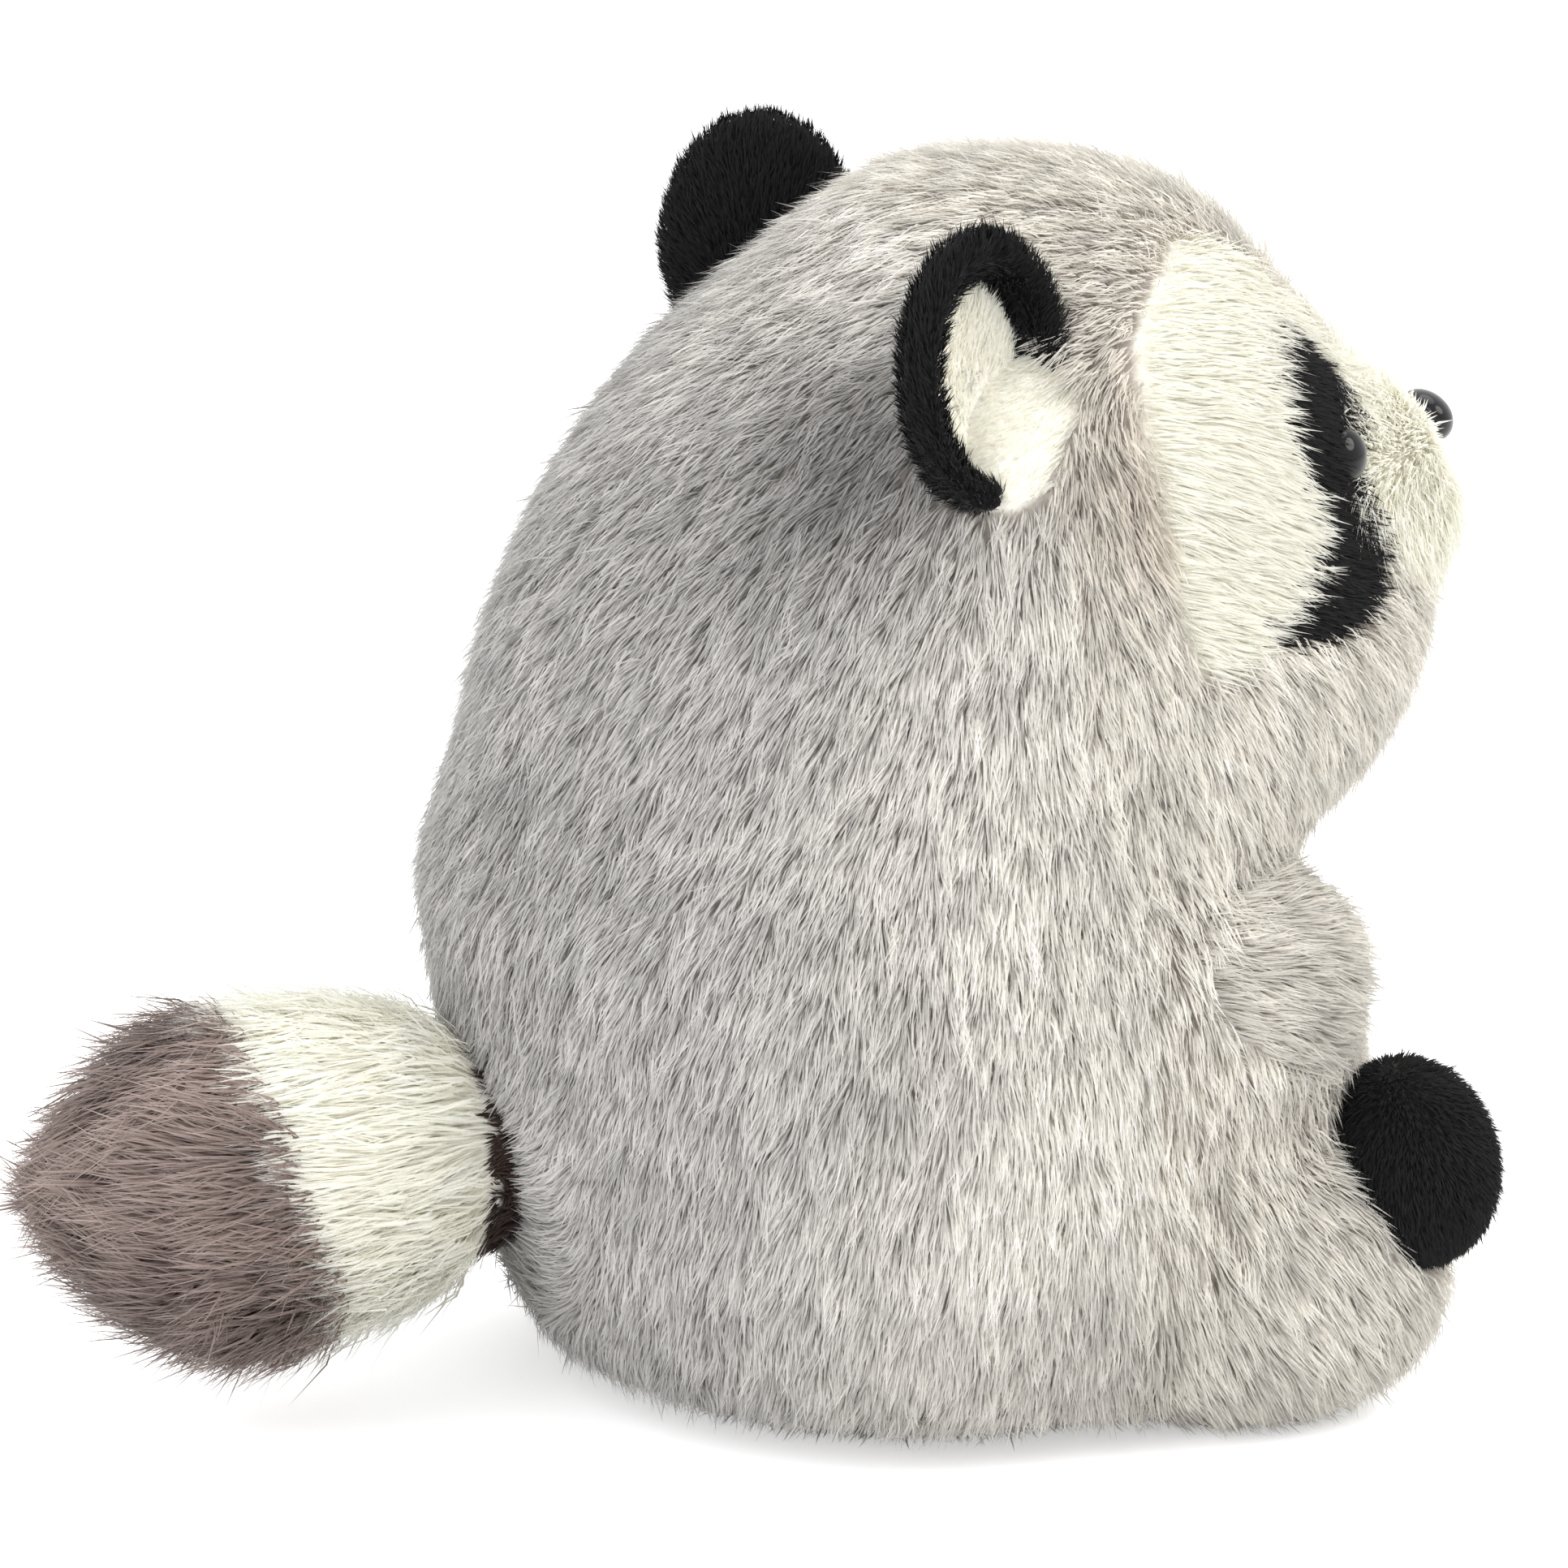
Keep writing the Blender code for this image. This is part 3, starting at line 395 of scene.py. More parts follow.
# How far a place is from the body's middle line, as a share of the skin's ellipse at its height
def bodyShare(p, inset):
    t = np.linspace(0, len(body["levels"]) - 1, 1401)
    rows = curveThrough(bodyRows(inset), t)
    middle, depth, wide = (np.interp(p[..., 2], rows[:, 0], rows[:, k]) for k in (1, 2, 3))
    x, y = p[..., 0] / np.maximum(wide, 1e-4), (p[..., 1] - middle) / np.maximum(depth, 1e-4)
    return np.hypot(x, y), np.abs(np.degrees(np.arctan2(x, -y))), middle


# Even-odd rule: a place is inside where a ray crosses an odd number of the outline's sides
def insideOutline(outline, a, b):
    ring = curveThrough(outline, np.arange(0, len(outline), 0.5), closed=True)
    inside = np.zeros(len(a), bool)
    for (a0, b0), (a1, b1) in zip(ring, np.roll(ring, -1, 0)):
        crosses = (b0 > b) != (b1 > b)
        inside ^= crosses & (a < a0 + (b - b0) * (a1 - a0) / (b1 - b0 + 1e-12))
    return inside


# Name of the panel that each place on the body lies in, as the seams cut it. The muzzle's seam is
# where side^e + rise^e is 1, with e = 2 / squareness.
def bodyPanels(p):
    _, angle, _ = bodyShare(p, body["inset"])
    up = p[:, 2] / body["height"]
    seam = np.array(body["faceSeam"])
    seamY = np.interp(up, np.r_[body["neckLevel"], seam[:, 0]],
                      np.r_[body["sideSeam"], seam[:, 1] * body["back"]])
    neck = body["neckSeam"] + body["neckDrop"] * (p[:, 1] - body["sideSeam"])
    panel = np.full(len(p), "faceSide", dtype="U10")
    panel[(np.abs(p[:, 0]) < body["foreheadHalfWidth"]) & (p[:, 2] > body["foreheadFoot"])] = "forehead"
    panel[insideOutline(body["cheek"], angle, up)] = "cheek"
    panel[insideOutline(body["mask"], angle, up)] = "mask"
    e = 2 / body["muzzleSquareness"]
    muzzle = ((np.abs(p[:, 0]) / body["muzzleSeamSide"]) ** e
              + (np.abs(p[:, 2] - body["muzzleHeight"]) / body["muzzleSeamRise"]) ** e < 1)
    panel[muzzle & (p[:, 1] < -0.3 * body["front"])] = "muzzle"
    panel[p[:, 2] < neck] = "belly"
    panel[p[:, 1] > seamY] = "back"
    panel[p[:, 2] < body["baseSeam"]] = "base"
    return panel


# Stuffed limbs, as centre, three radii, turn and squareness; the sides are mirrored in x. Reach is how
# far from the body their pile bridges the crease.
arm = dict(centre=(0.705 * bodyHalfWidth, -0.371 * bodyDepth, 0.3756 * bodyHeight), radii=(0.018, 0.030, 0.0225),
           turn=-14, squareness=0.9, inset=0.0036, reach=0.014)
leg = dict(centre=(0.614 * bodyHalfWidth, -0.474 * bodyDepth, 0.031), radii=(0.027, 0.039, 0.031),
           squareness=0.88, inset=0.0036, reach=0.008)
foot = dict(centre=(0.614 * bodyHalfWidth + 0.0115, -0.474 * bodyDepth - 0.027, 0.051),
            radii=(0.0185, 0.0165, 0.0207), tilt=-12, squareness=1.0, inset=0.0014)


limbCover = 0.006      # no strand starts deeper than this inside a limb
meanRadius = 0.024     # turns a limb's share into a distance
skinClear = 0.0003     # limb skins lie this far outside the body's skin


def limbTurn(limb):
    return np.array(Matrix.Rotation(math.radians(limb.get("turn", 0)), 3, "Z")
                    @ Matrix.Rotation(math.radians(limb.get("tilt", 0)), 3, "X"))


# Power mean of a place's three shares of the radii: below 1 it lies inside the limb
def limbShare(p, limb, side, grow=0.0):
    q = (p * [side, 1, 1] - np.array(limb["centre"])) @ limbTurn(limb)
    e = 2 / limb["squareness"]
    return np.sum(np.abs(q / (np.array(limb["radii"]) + grow)) ** e, -1) ** (1 / e)


# Limb skin: a ball of directions, each scaled until the power mean of its shares is 1
def limbGrid(limb, side, rows=42, columns=60):
    e = np.linspace(-math.pi / 2, math.pi / 2, rows)[:, None]
    a = np.linspace(0, 2 * math.pi, columns + 1)[None] * side
    v = np.stack(np.broadcast_arrays(np.cos(e) * np.cos(a), np.cos(e) * np.sin(a), np.sin(e) + 0 * a), -1)
    p = 2 / limb["squareness"]
    v = v / np.sum(np.abs(v) ** p, -1, keepdims=True) ** (1 / p)
    grid = (v * (np.array(limb["radii"]) - limb["inset"])) @ limbTurn(limb).T + np.array(limb["centre"])
    return grid * [side, 1, 1]


# Where a limb would go inside the body, its skin lies against the body's skin instead
def againstBody(grid, inset):
    share, _, middle = bodyShare(grid, inset)
    push = np.maximum(1 / np.maximum(share, 0.3), 1)
    push = np.where(grid[..., 2] < 0.94 * body["height"], push, 1)
    out = grid.copy()
    out[..., 0] = grid[..., 0] * push
    out[..., 1] = middle + (grid[..., 1] - middle) * push
    return out


# Tail: radius along the tail as shares of its length and radius
tail = dict(height=0.2255 * bodyHeight, radius=0.0345, flatness=0.92, start=0.804 * bodyDepth, length=0.097,
            droop=0.003, inset=0.0060, rootBand=0.0158, whiteBand=0.0322, tipSlope=0.30, cover=0.020,
            profile=((0.00, 0.66), (0.15, 0.76), (0.33, 0.92), (0.52, 1.00), (0.68, 0.97), (0.82, 0.80),
                     (0.92, 0.54), (0.98, 0.25), (1.00, 0.00)))


# Tail skin: rings x = flat r sin a, z = middle + r cos a along y, with r from the profile's curve
def tailGrid(rows=64, columns=60):
    t = np.linspace(0, len(tail["profile"]) - 1, rows)
    share, r = np.moveaxis(curveThrough(tail["profile"], t), -1, 0)
    r = np.maximum(r * tail["radius"] - tail["inset"], 0)
    r[-1] = 0
    a = np.linspace(0, 2 * math.pi, columns + 1)[None]
    r, share = r[:, None], share[:, None]
    x = tail["flatness"] * r * np.sin(a)
    z = tail["height"] - tail["droop"] * share + r * np.cos(a)
    y = tail["start"] + share * (tail["length"] - tail["inset"]) + 0 * a
    grid = np.stack([x, y, z], -1)
    return np.concatenate([grid[:1] * 0 + [0, tail["start"], tail["height"]], grid])


# Ear: a cup turned from a profile of radius share and height, set facing outwards and leaning back
ear = dict(side=0.682 * bodyHalfWidth, y=0.011, height=0.881 * bodyHeight, halfWidth=0.0205, halfHeight=0.0275,
           turn=64, lean=6, cup=0.0085, fabric=0.0035, lining=0.0030, rim=0.0070, inset=0.0014,
           lined=8.7, hollow=0.86, hollowDepth=0.007)    # lined: the profile's step where the white begins


def earTurn():
    return np.array(Matrix.Rotation(math.radians(ear["turn"]), 3, "Z")
                    @ Matrix.Rotation(math.radians(90 - ear["lean"]), 3, "X"))


def earGrid(side, columns=56):
    rimIn = 1 - ear["rim"] / ear["halfWidth"]
    k = ear["inset"] / ear["halfWidth"]
    shares = ((0, -ear["fabric"]), (0.35, -ear["fabric"]), (0.65, -ear["fabric"]), (0.86, -ear["fabric"]))
    profile = [(s, -ear["cup"] * (1 - s ** 2) + h + ear["inset"]) for s, h in shares]
    profile += [(0.96 - k, -0.0006), (0.96 - k, 0.0010), (0.90 - k, 0.0020), (rimIn + k, 0.0012),
                (rimIn - 0.02, -ear["cup"] * (1 - rimIn ** 2) + 0.0012)]
    profile += [(s, -ear["cup"] * (1 - s ** 2) + ear["lining"] - ear["inset"]) for s in (0.5, 0.25, 0)]
    t = np.linspace(0, len(profile) - 1, 45)
    s, h = np.moveaxis(curveThrough(profile, t), -1, 0)
    s = np.maximum(s, 0)
    s[0] = s[-1] = 0
    a = np.linspace(0, 2 * math.pi, columns + 1)[None]
    s, h = s[:, None], h[:, None]
    flat = np.stack([s * ear["halfWidth"] * np.cos(a), s * ear["halfHeight"] * np.sin(a), h + 0 * a], -1)
    grid = flat @ earTurn().T + [ear["side"], ear["y"], ear["height"]]
    if side < 0:
        grid = grid[:, ::-1] * [-1, 1, 1]
    return grid, t


# Whether a place lies in the hollow of an ear: well inside its rim and near its plane
def inEar(p):
    q = (p * np.stack([np.sign(p[..., 0]), 1 + 0 * p[..., 0], 1 + 0 * p[..., 0]], -1)
         - [ear["side"], ear["y"], ear["height"]]) @ earTurn()
    rim = np.hypot(q[..., 0] / ear["halfWidth"], q[..., 1] / ear["halfHeight"])
    return (rim < ear["hollow"]) & (np.abs(q[..., 2]) < ear["hollowDepth"])


# Looks of the pile. Lengths in metres, angles in degrees above the skin; tuft is the width of a tuft,
# clump how far its tips draw together, and soft how much the strand shades as the skin under it does.
# Mottle is how much darker the strands in the hollows between tufts are: painted shade. Each root tint is
# darker than its tip: partly the fibre's own colour, partly painted shade of the pile's depth.
greyLook = dict(length=0.0080, width=0.00036, lift=42, bend=14, wander=0.20, tuft=0.0034, clump=0.0013, uneven=0.18,
                strays=0.05, twist=0.4, soft=0.75, mottle=0.19, speckle=0.06, patch=0.08,
                root="CFC8BF", middle="EDEAE3", tip="FAF8F3")
warmLook = dict(greyLook, root="D2CABF", middle="EDE9E1", tip="FAF8F1")
creamLook = dict(greyLook, root="F8F5EB", middle="FDFBF2", tip="FDFCF5", mottle=0.02, speckle=0.02, patch=0.01,
                 wander=0.14, lift=36, clump=0.0009, soft=0.85)
# the cheek's cream is a little darker than the muzzle's: painted shade, keeping the cheek, which faces the key
# light, from reading whiter
cheekShadedLook = dict(creamLook, root="F0EFE6", middle="F4F3EA", tip="F6F6EF")
maskLook = dict(greyLook, length=0.0050, lift=48, bend=24, tuft=0.002, clump=0.0003, strays=0.02,
                root="0A0A0B", middle="131314", tip="1C1B1C", mottle=0.1, speckle=0.15, soft=0.5)
velvetLook = dict(maskLook, length=0.0028, width=0.00030, lift=52, bend=30, strays=0.05, uneven=0.2)
earLook = dict(velvetLook, length=0.0036, lift=46)
liningLook = dict(creamLook, length=0.0030, width=0.00038, lift=26, bend=6, tuft=0.003, clump=0.0005)
tailCream = dict(creamLook, length=0.0150, width=0.00048, lift=22, bend=3, tuft=0.006, clump=0.0015, wander=0.15,
                 strays=0.04, mottle=0.03)
tailTaupe = dict(tailCream, lift=36, bend=14, root="6E5C56", middle="93827B", tip="B9AAA4", mottle=0.22,
                 speckle=0.06, patch=0.08, clump=0.0038, tuft=0.007, wander=0.35, strays=0.12, uneven=0.25)
tailBrown = dict(tailCream, length=0.0050, root="2A201C", middle="43342F", tip="5A4A44", mottle=0.15, speckle=0.1)
perSquareMetre = 3.2e6       # strands on the body, and the same on the limbs


def blank(v, like):
    return np.broadcast_to(np.array(v, float), like.shape).copy()


# One direction for each place, from parts that are numbers or arrays
def directions(p, x, y, z):
    return np.stack(np.broadcast_arrays(x, y, z, p[:, 0])[:3], 1)


browHeight = body["foreheadFoot"] + 0.004    # a little tuft stands up here, over the muzzle


# Lie of the pile on each panel, as directions before they are laid into the skin: down over the body,
# swinging from forwards in front of the side seam to backwards behind it, and back over the crown
def bodyFlow(p, normals, panel):
    y, z = p[:, 1], p[:, 2]
    side = np.tanh(p[:, 0] / 0.015)
    upper = smoothStep(z, 0.09, 0.20)
    lean = -0.55 + 1.35 * smoothStep(y, -0.06, 0.07)
    crown = smoothStep(z, 0.188, 0.222)
    flow = directions(p, 0.10 * side, lean * (0.45 + 0.65 * upper) * (1 - crown) + 1.1 * crown, -1 + 0.8 * crown)
    # round the tail it leans in over the root
    out = p * [1, 0, 1] - [0, 0, tail["height"]]
    ring = np.linalg.norm(out, axis=1)
    nearTail = (np.exp(-((ring - 0.024) / 0.009) ** 2) * (y > 0.05))[:, None]
    flow = flow * (1 - nearTail) - 1.5 * nearTail * out / np.maximum(ring, 0.001)[:, None]
    k = panel == "lining"
    flow[k] = directions(p, side, -0.3, 1)[k]
    k = panel == "forehead"
    flow[k] = directions(p, 0.10 * side, 1, 0.3)[k]
    brow = (np.exp(-((z - browHeight) / 0.006) ** 2) * k)[:, None]
    flow = flow * (1 - brow) + brow * [0, -0.5, 1]
    k = panel == "cheek"
    flow[k] = directions(p, -0.10 * side, -1, -0.45)[k]
    k = panel == "mask"
    flow[k] = directions(p, -0.3 * side, -1, -0.6)[k]
    # over the muzzle it lies out from the nose, then up above the mouth's height and down below it
    k = panel == "muzzle"
    away = p - noseCentre()
    near = np.exp(-(np.linalg.norm(away, axis=1) / 0.016) ** 2)[:, None]
    outer = directions(p, 0.3 * side, 0.1, 0.2 - 1.1 * smoothStep(-z, -0.182, -0.158))
    flow[k] = (unit(away) * near + (1 - near) * outer)[k]
    k = panel == "base"
    flow[k] = directions(p, p[:, 0], y, 0)[k]
    return flow


# Dark spots of the grey pile, the same on both sides: place, radius, and how much red, green and blue
# they take away. Two lie behind the ears: partly the pile's own darker tone, partly painted shade of the
# ears and head. One lies on the temple and makes it darker and warmer.
toneAndPaintedShadeSpots = (((0.055, 0.045, 0.190), 0.026, (0.30, 0.30, 0.29)),
              ((0.058, 0.033, 0.200), 0.015, (0.62, 0.63, 0.62)),
              ((0.064, -0.022, 0.188), 0.014, (0.30, 0.34, 0.38)))


# Large tones of the grey pile: darker and a little cooler to the back, partly the pile's own tone and partly
# painted shade of the side turned from the key light; darker at the foot, which is painted shade near the floor;
# and each spot takes away its share times exp(-distance^2 / (2 radius^2))
def bodyToneAndPaintedShade(p):
    x, y, z = np.abs(p[:, 0]), p[:, 1], p[:, 2]
    # darker and a little cooler towards the back: partly the pile's own tone, partly painted shade
    shade = 0.95 - smoothStep(y, 0.0, 0.085)[:, None] * np.array([0.28, 0.28, 0.26])
    for (cx, cy, cz), radius, dark in toneAndPaintedShadeSpots:
        d = (x - cx) ** 2 + (y - cy) ** 2 + (z - cz) ** 2
        shade = shade * (1 - np.exp(-d / (2 * radius ** 2))[:, None] * np.array(dark))
    # painted shade near the floor: up to 12% darker below 5 cm
    return shade * (0.88 + 0.12 * smoothStep(z, 0.01, 0.05))[:, None]


# Length of the body's strands as a share: half beside the nose, shorter round the eyes, longer just
# behind them and in the tuft over the muzzle, each fading with exp(-(distance / reach)^2)
def lengthShares(p, panel):
    share = 0.5 + 0.5 * smoothStep(np.linalg.norm(p - noseCentre(), axis=1), 0.007, 0.015)
    ahead = np.abs(p * [1, 0, 0]) + p * [0, 1, 1] - eyeCentre(1)
    share = share - 0.35 * np.exp(-(np.linalg.norm(ahead, axis=1) / 0.009) ** 2)
    share = share + 0.5 * np.exp(-(np.linalg.norm(ahead - [0.003, 0.006, 0.001], axis=1) / 0.005) ** 2)
    if panel == "forehead":
        share = share + 0.5 * np.exp(-((p[:, 2] - browHeight) / 0.006) ** 2)
    return share


# Where a limb meets the body the pile bridges the crease: roots within the reach of the other
# surface move out by (reach - distance)^2 / (4 reach), and their normals lean away from it
def bridge(p, normals, distance, away, reach):
    near = np.maximum(reach - distance, 0)[:, None]
    return p + normals * near ** 2 / (4 * reach), unit(normals + away * near / reach * 0.6)


# Body skin, and the panels' pile grown from it
def makeBody(rng):
    angles = np.linspace(-math.pi, math.pi, body["columns"] + 1)
    t = np.linspace(-1, len(body["levels"]) - 1, body["rows"])
    grid = bodySurface(angles[None], t[:, None], body["inset"])
    grid[0], grid[-1] = grid[0, :1], grid[-1, :1]
    skin = skinOf(grid)
    flat = grid.reshape(-1, 3)
    panels = bodyPanels(flat)
    tints = np.zeros((len(flat), 3))
    # the back's backing is darker than the other grey panels', as its pile is: partly the fabric's own tone, partly
    # painted shade
    under = dict(back="A9A39B", belly=backingGrey, base=backingGrey, faceSide=backingGrey, forehead=backingGrey,
                 cheek=backingCream, muzzle=backingCream, mask=backingBlack)
    for key, colour in under.items():
        tints[panels == key] = linearColour(colour)
    tints[inEar(flat)] = linearColour(backingCream)
    nodes = ["back_panel_left", "back_panel_right", "base_panel", "belly_panel", "cheek_patch_left",
             "cheek_patch_right", "face_side_left", "face_side_right", "forehead_strip", "mask_left",
             "mask_right", "muzzle_panel"]
    stuffedSkin("bodySkin", grid, tints.reshape(grid.shape), nodes)

    p, normals, _ = scatter(skin, perSquareMetre * 1.6, rng)
    panel = bodyPanels(p + 0.0013 * rng.normal(size=p.shape))     # colours mingle along the seams
    panel[inEar(p)] = "lining"
    share = dict(lining=0.8, back=0.62, belly=0.36, base=0.22, faceSide=0.62, forehead=0.62, cheek=0.62,
                 muzzle=1.0, mask=1.0)
    keep = rng.random(len(p)) < np.select([panel == k for k in share], list(share.values()))
    for side in (-1, 1):
        keep &= limbShare(p, arm, side, -limbCover) > 1
        keep &= limbShare(p, leg, side, -limbCover) > 1
        keep &= np.linalg.norm(p - eyeCentre(side), axis=1) > eye["clear"]
    keep &= ~((np.hypot(p[:, 0], p[:, 2] - tail["height"]) < tail["cover"]) & (p[:, 1] > 0.06))
    keep &= np.linalg.norm((p - noseCentre()) / noseLook["clear"], axis=1) > 1
    p, normals, panel = p[keep], normals[keep], panel[keep]
    for side in (-1, 1):
        for limb in (arm, leg):
            away = unit(p - np.array(limb["centre"]) * [side, 1, 1])
            distance = (limbShare(p, limb, side) - 1) * meanRadius
            p, normals = bridge(p, normals, distance, away, limb["reach"])
    flow = bodyFlow(p, normals, panel)
    # large tones of the grey pile, with painted shade to the back, behind the ears and near the floor
    shade = bodyToneAndPaintedShade(p)
    total = 0
    pieces = (("pileBack", "back", greyLook, pileGrey, "grey_pile", "back_panel", True),
              ("pileFaceSide", "faceSide", warmLook, pileGrey, "grey_pile", "face_side", True),
              ("pileForehead", "forehead", warmLook, pileGrey, "grey_pile", "forehead_strip", False),
              ("pileCheek", "cheek", cheekShadedLook, pileCream, "white_pile", "cheek_patch", True),
              ("pileMask", "mask", maskLook, pileBlack, "black_pile", "mask", True),
              ("pileMuzzle", "muzzle", dict(creamLook, lift=28), pileCream, "white_pile", "muzzle_panel", False),
              ("pileEarRoot", "lining", liningLook, pileCream, "white_pile", "ear_inner", True),
              ("pileBelly", "belly", warmLook, pileGrey, "grey_pile", "belly_panel", False),
              ("pileBase", "base", dict(warmLook, length=0.006), pileGrey, "grey_pile", "base_panel", False))
    for name, key, look, mat, slot, node, twoSides in pieces:
        left = p[:, 0] >= 0
        for end, pick in ((("_left", left), ("_right", ~left)) if twoSides else (("", True),)):
            k = pick & (panel == key)
            grey = shade[k] if slot == "grey_pile" else None
            total += growPile(name + end, look, p[k], normals[k], flow[k], rng, mat, [node + end], grey,
                              lengthShares(p[k], key))
    return total


# Place on the CAD surface at an angle from the front and a height, moved along its normal
def bodyPlace(angle, up, out):
    t = np.linspace(0, len(body["levels"]) - 1, 1401)
    level = np.interp(up, curveThrough(bodyRows(0), t)[:, 0], t)
    q = bodySurface(np.array([angle, angle + 0.03, angle - 0.03, angle, angle]),
                    np.array([level, level, level, level + 0.05, level - 0.05]), 0)
    normal = unit(np.cross(q[1] - q[2], q[3] - q[4]))
    return q[0] + normal * out, normal


eye = dict(radius=0.0050, depth=0.0034, angle=35, height=0.773 * bodyHeight, sunk=0.0020, clear=0.0054)
noseLook = dict(halfWidth=0.0070, halfHeight=0.0055, depth=0.0042, sunk=0.0010, rise=0.007,
                clear=(0.0068, 0.02, 0.0054))    # no strand starts within these half axes of its centre


def eyeCentre(side):
    return bodyPlace(math.radians(eye["angle"]), eye["height"], -eye["sunk"])[0] * [side, 1, 1]


def noseCentre():
    return bodyPlace(0.0, body["muzzleHeight"] + noseLook["rise"], -noseLook["sunk"])[0]


rng = np.random.default_rng(7)
strands = makeBody(rng)
print("raccoon: body pile,", strands, "strands")


# Arms and legs: skins against the body, their pile and the short pile of the feet
def makeLimbs(rng):
    total = 0
    for side, end in ((1, "_left"), (-1, "_right")):
        grid = againstBody(limbGrid(arm, side), body["inset"] - skinClear)
        stuffedSkin("armSkin" + end, grid, blank(linearColour(backingGrey), grid), ["arm" + end])
        p, normals, _ = scatter(skinOf(grid), perSquareMetre, rng)
        share, _, _ = bodyShare(p, body["inset"])
        keep = share > 1.01
        p, normals, share = p[keep], normals[keep], share[keep]
        distance = (share - 1) * 0.085      # the body's mean radius here
        p, normals = bridge(p, normals, distance, unit(p * [1, 1, 0]), arm["reach"])
        axis = limbTurn(arm) @ [0, -1, 0]
        flow = blank((axis + [0, 0, -0.40]) * [side, 1, 1], p)
        # the arms' pile is the body's warm grey made darker (0.82): painted shade
        total += growPile("pileArm" + end, warmLook, p, normals, flow, rng, pileGrey, ["arm" + end],
                          blank((0.82, 0.82, 0.82), p))

        # leg and foot are one limb: each drops what lies inside the other
        legSkin = againstBody(limbGrid(leg, side), body["inset"] - skinClear)
        footSkin = limbGrid(foot, side, 36, 48)
        tints = blank(linearColour(backingGrey), legSkin)
        stuffedSkin("legSkin" + end, legSkin, tints, ["leg" + end])
        tints = blank(linearColour(backingBlack), footSkin)
        stuffedSkin("footSkin" + end, footSkin, tints, ["foot" + end])
        p, normals, _ = scatter(skinOf(legSkin), perSquareMetre, rng)
        share, _, _ = bodyShare(p, body["inset"])
        keep = ((share > 1.01) & (limbShare(p, foot, side, -foot["inset"]) > 1)
                & (limbShare(p, arm, side, -limbCover) > 1))
        p, normals = p[keep], normals[keep]
        flow = blank((0.05 * side, -0.45, -0.85), p)
        # the legs' pile is the body's warm grey made darker (0.88): painted shade
        total += growPile("pileLeg" + end, warmLook, p, normals, flow, rng, pileGrey, ["leg" + end],
                          blank((0.88, 0.88, 0.88), p))
        p, normals, _ = scatter(skinOf(footSkin), perSquareMetre * 1.7, rng)
        keep = limbShare(p, leg, side, -leg["inset"]) > 1
        p, normals = p[keep], normals[keep]
        total += growPile("pileFoot" + end, velvetLook, p, normals, blank((0, -0.3, -1), p), rng, pileBlack,
                          ["foot" + end])
    return total


strands += makeLimbs(rng)
print("raccoon: arms, legs and feet,", strands, "strands so far")


# Ears: a closed cup each, black outside and over the rim, white inside it
def makeEars(rng):
    total = 0
    for side, end in ((1, "_left"), (-1, "_right")):
        grid, t = earGrid(side)
        tints = blank(linearColour(backingBlack), grid)
        tints[t > ear["lined"]] = linearColour(backingCream)
        piece = gridPiece("earSkin" + end, grid, backing, tints)
        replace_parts(piece, "ear_outer" + end, "ear_inner" + end)
        p, normals, row = scatter(skinOf(grid), perSquareMetre * 1.6, rng)
        share, _, _ = bodyShare(p, body["inset"])
        keep = share > 1.0
        p, normals, row = p[keep], normals[keep], row[keep]
        flow = p - np.array([ear["side"] * side, ear["y"], ear["height"] - ear["halfHeight"]])
        lined = row / (len(t) - 1) * t[-1] > ear["lined"]
        total += growPile("pileEarOuter" + end, earLook, p[~lined], normals[~lined], flow[~lined], rng, pileBlack,
                          ["ear_outer" + end])
        total += growPile("pileEarInner" + end, liningLook, p[lined], normals[lined], flow[lined], rng, pileCream,
                          ["ear_inner" + end])
    return total


strands += makeEars(rng)
print("raccoon: ears,", strands, "strands so far")


# Tail: one stuffed skin in three bands; the tip's band starts further back at the top
def makeTail(rng):
    grid = againstBody(tailGrid(), body["inset"] - skinClear)
    rootEnd = tail["start"] + tail["rootBand"]

    def bandOf(p):
        tipStart = rootEnd + tail["whiteBand"] + tail["tipSlope"] * (p[..., 2] - tail["height"])
        return np.where(p[..., 1] < rootEnd - 0.003, 0, np.where(p[..., 1] < tipStart, 1, 2))

    colours = np.array([linearColour(c) for c in ("2A201C", backingCream, "7A6862")])
    stuffedSkin("tailSkin", grid, colours[bandOf(grid)],
                ["tail_root_band", "tail_white_band", "tail_tip_band"])
    p, normals, _ = scatter(skinOf(grid), perSquareMetre * 0.85, rng)
    share, _, _ = bodyShare(p, body["inset"])
    keep = share > 1.01
    p, normals = p[keep], normals[keep]
    # fibres run to the tip and a little away from the middle
    away = directions(p, np.tanh(p[:, 0] / 0.010) * 0.18, 0.9, 0.05)
    band = bandOf(p)
    total = 0
    for k, (name, look, mat, slot, node) in enumerate((
            ("pileTailRoot", tailBrown, pileBrown, "brown_pile", "tail_root_band"),
            ("pileTailWhite", tailCream, pileCream, "white_pile", "tail_white_band"),
            ("pileTailTip", tailTaupe, pileTaupe, "taupe_pile", "tail_tip_band"))):
        b = band == k
        total += growPile(name, look, p[b], normals[b], away[b], rng, mat, [node])
    return total


strands += makeTail(rng)
print("raccoon: tail,", strands, "strands in all")


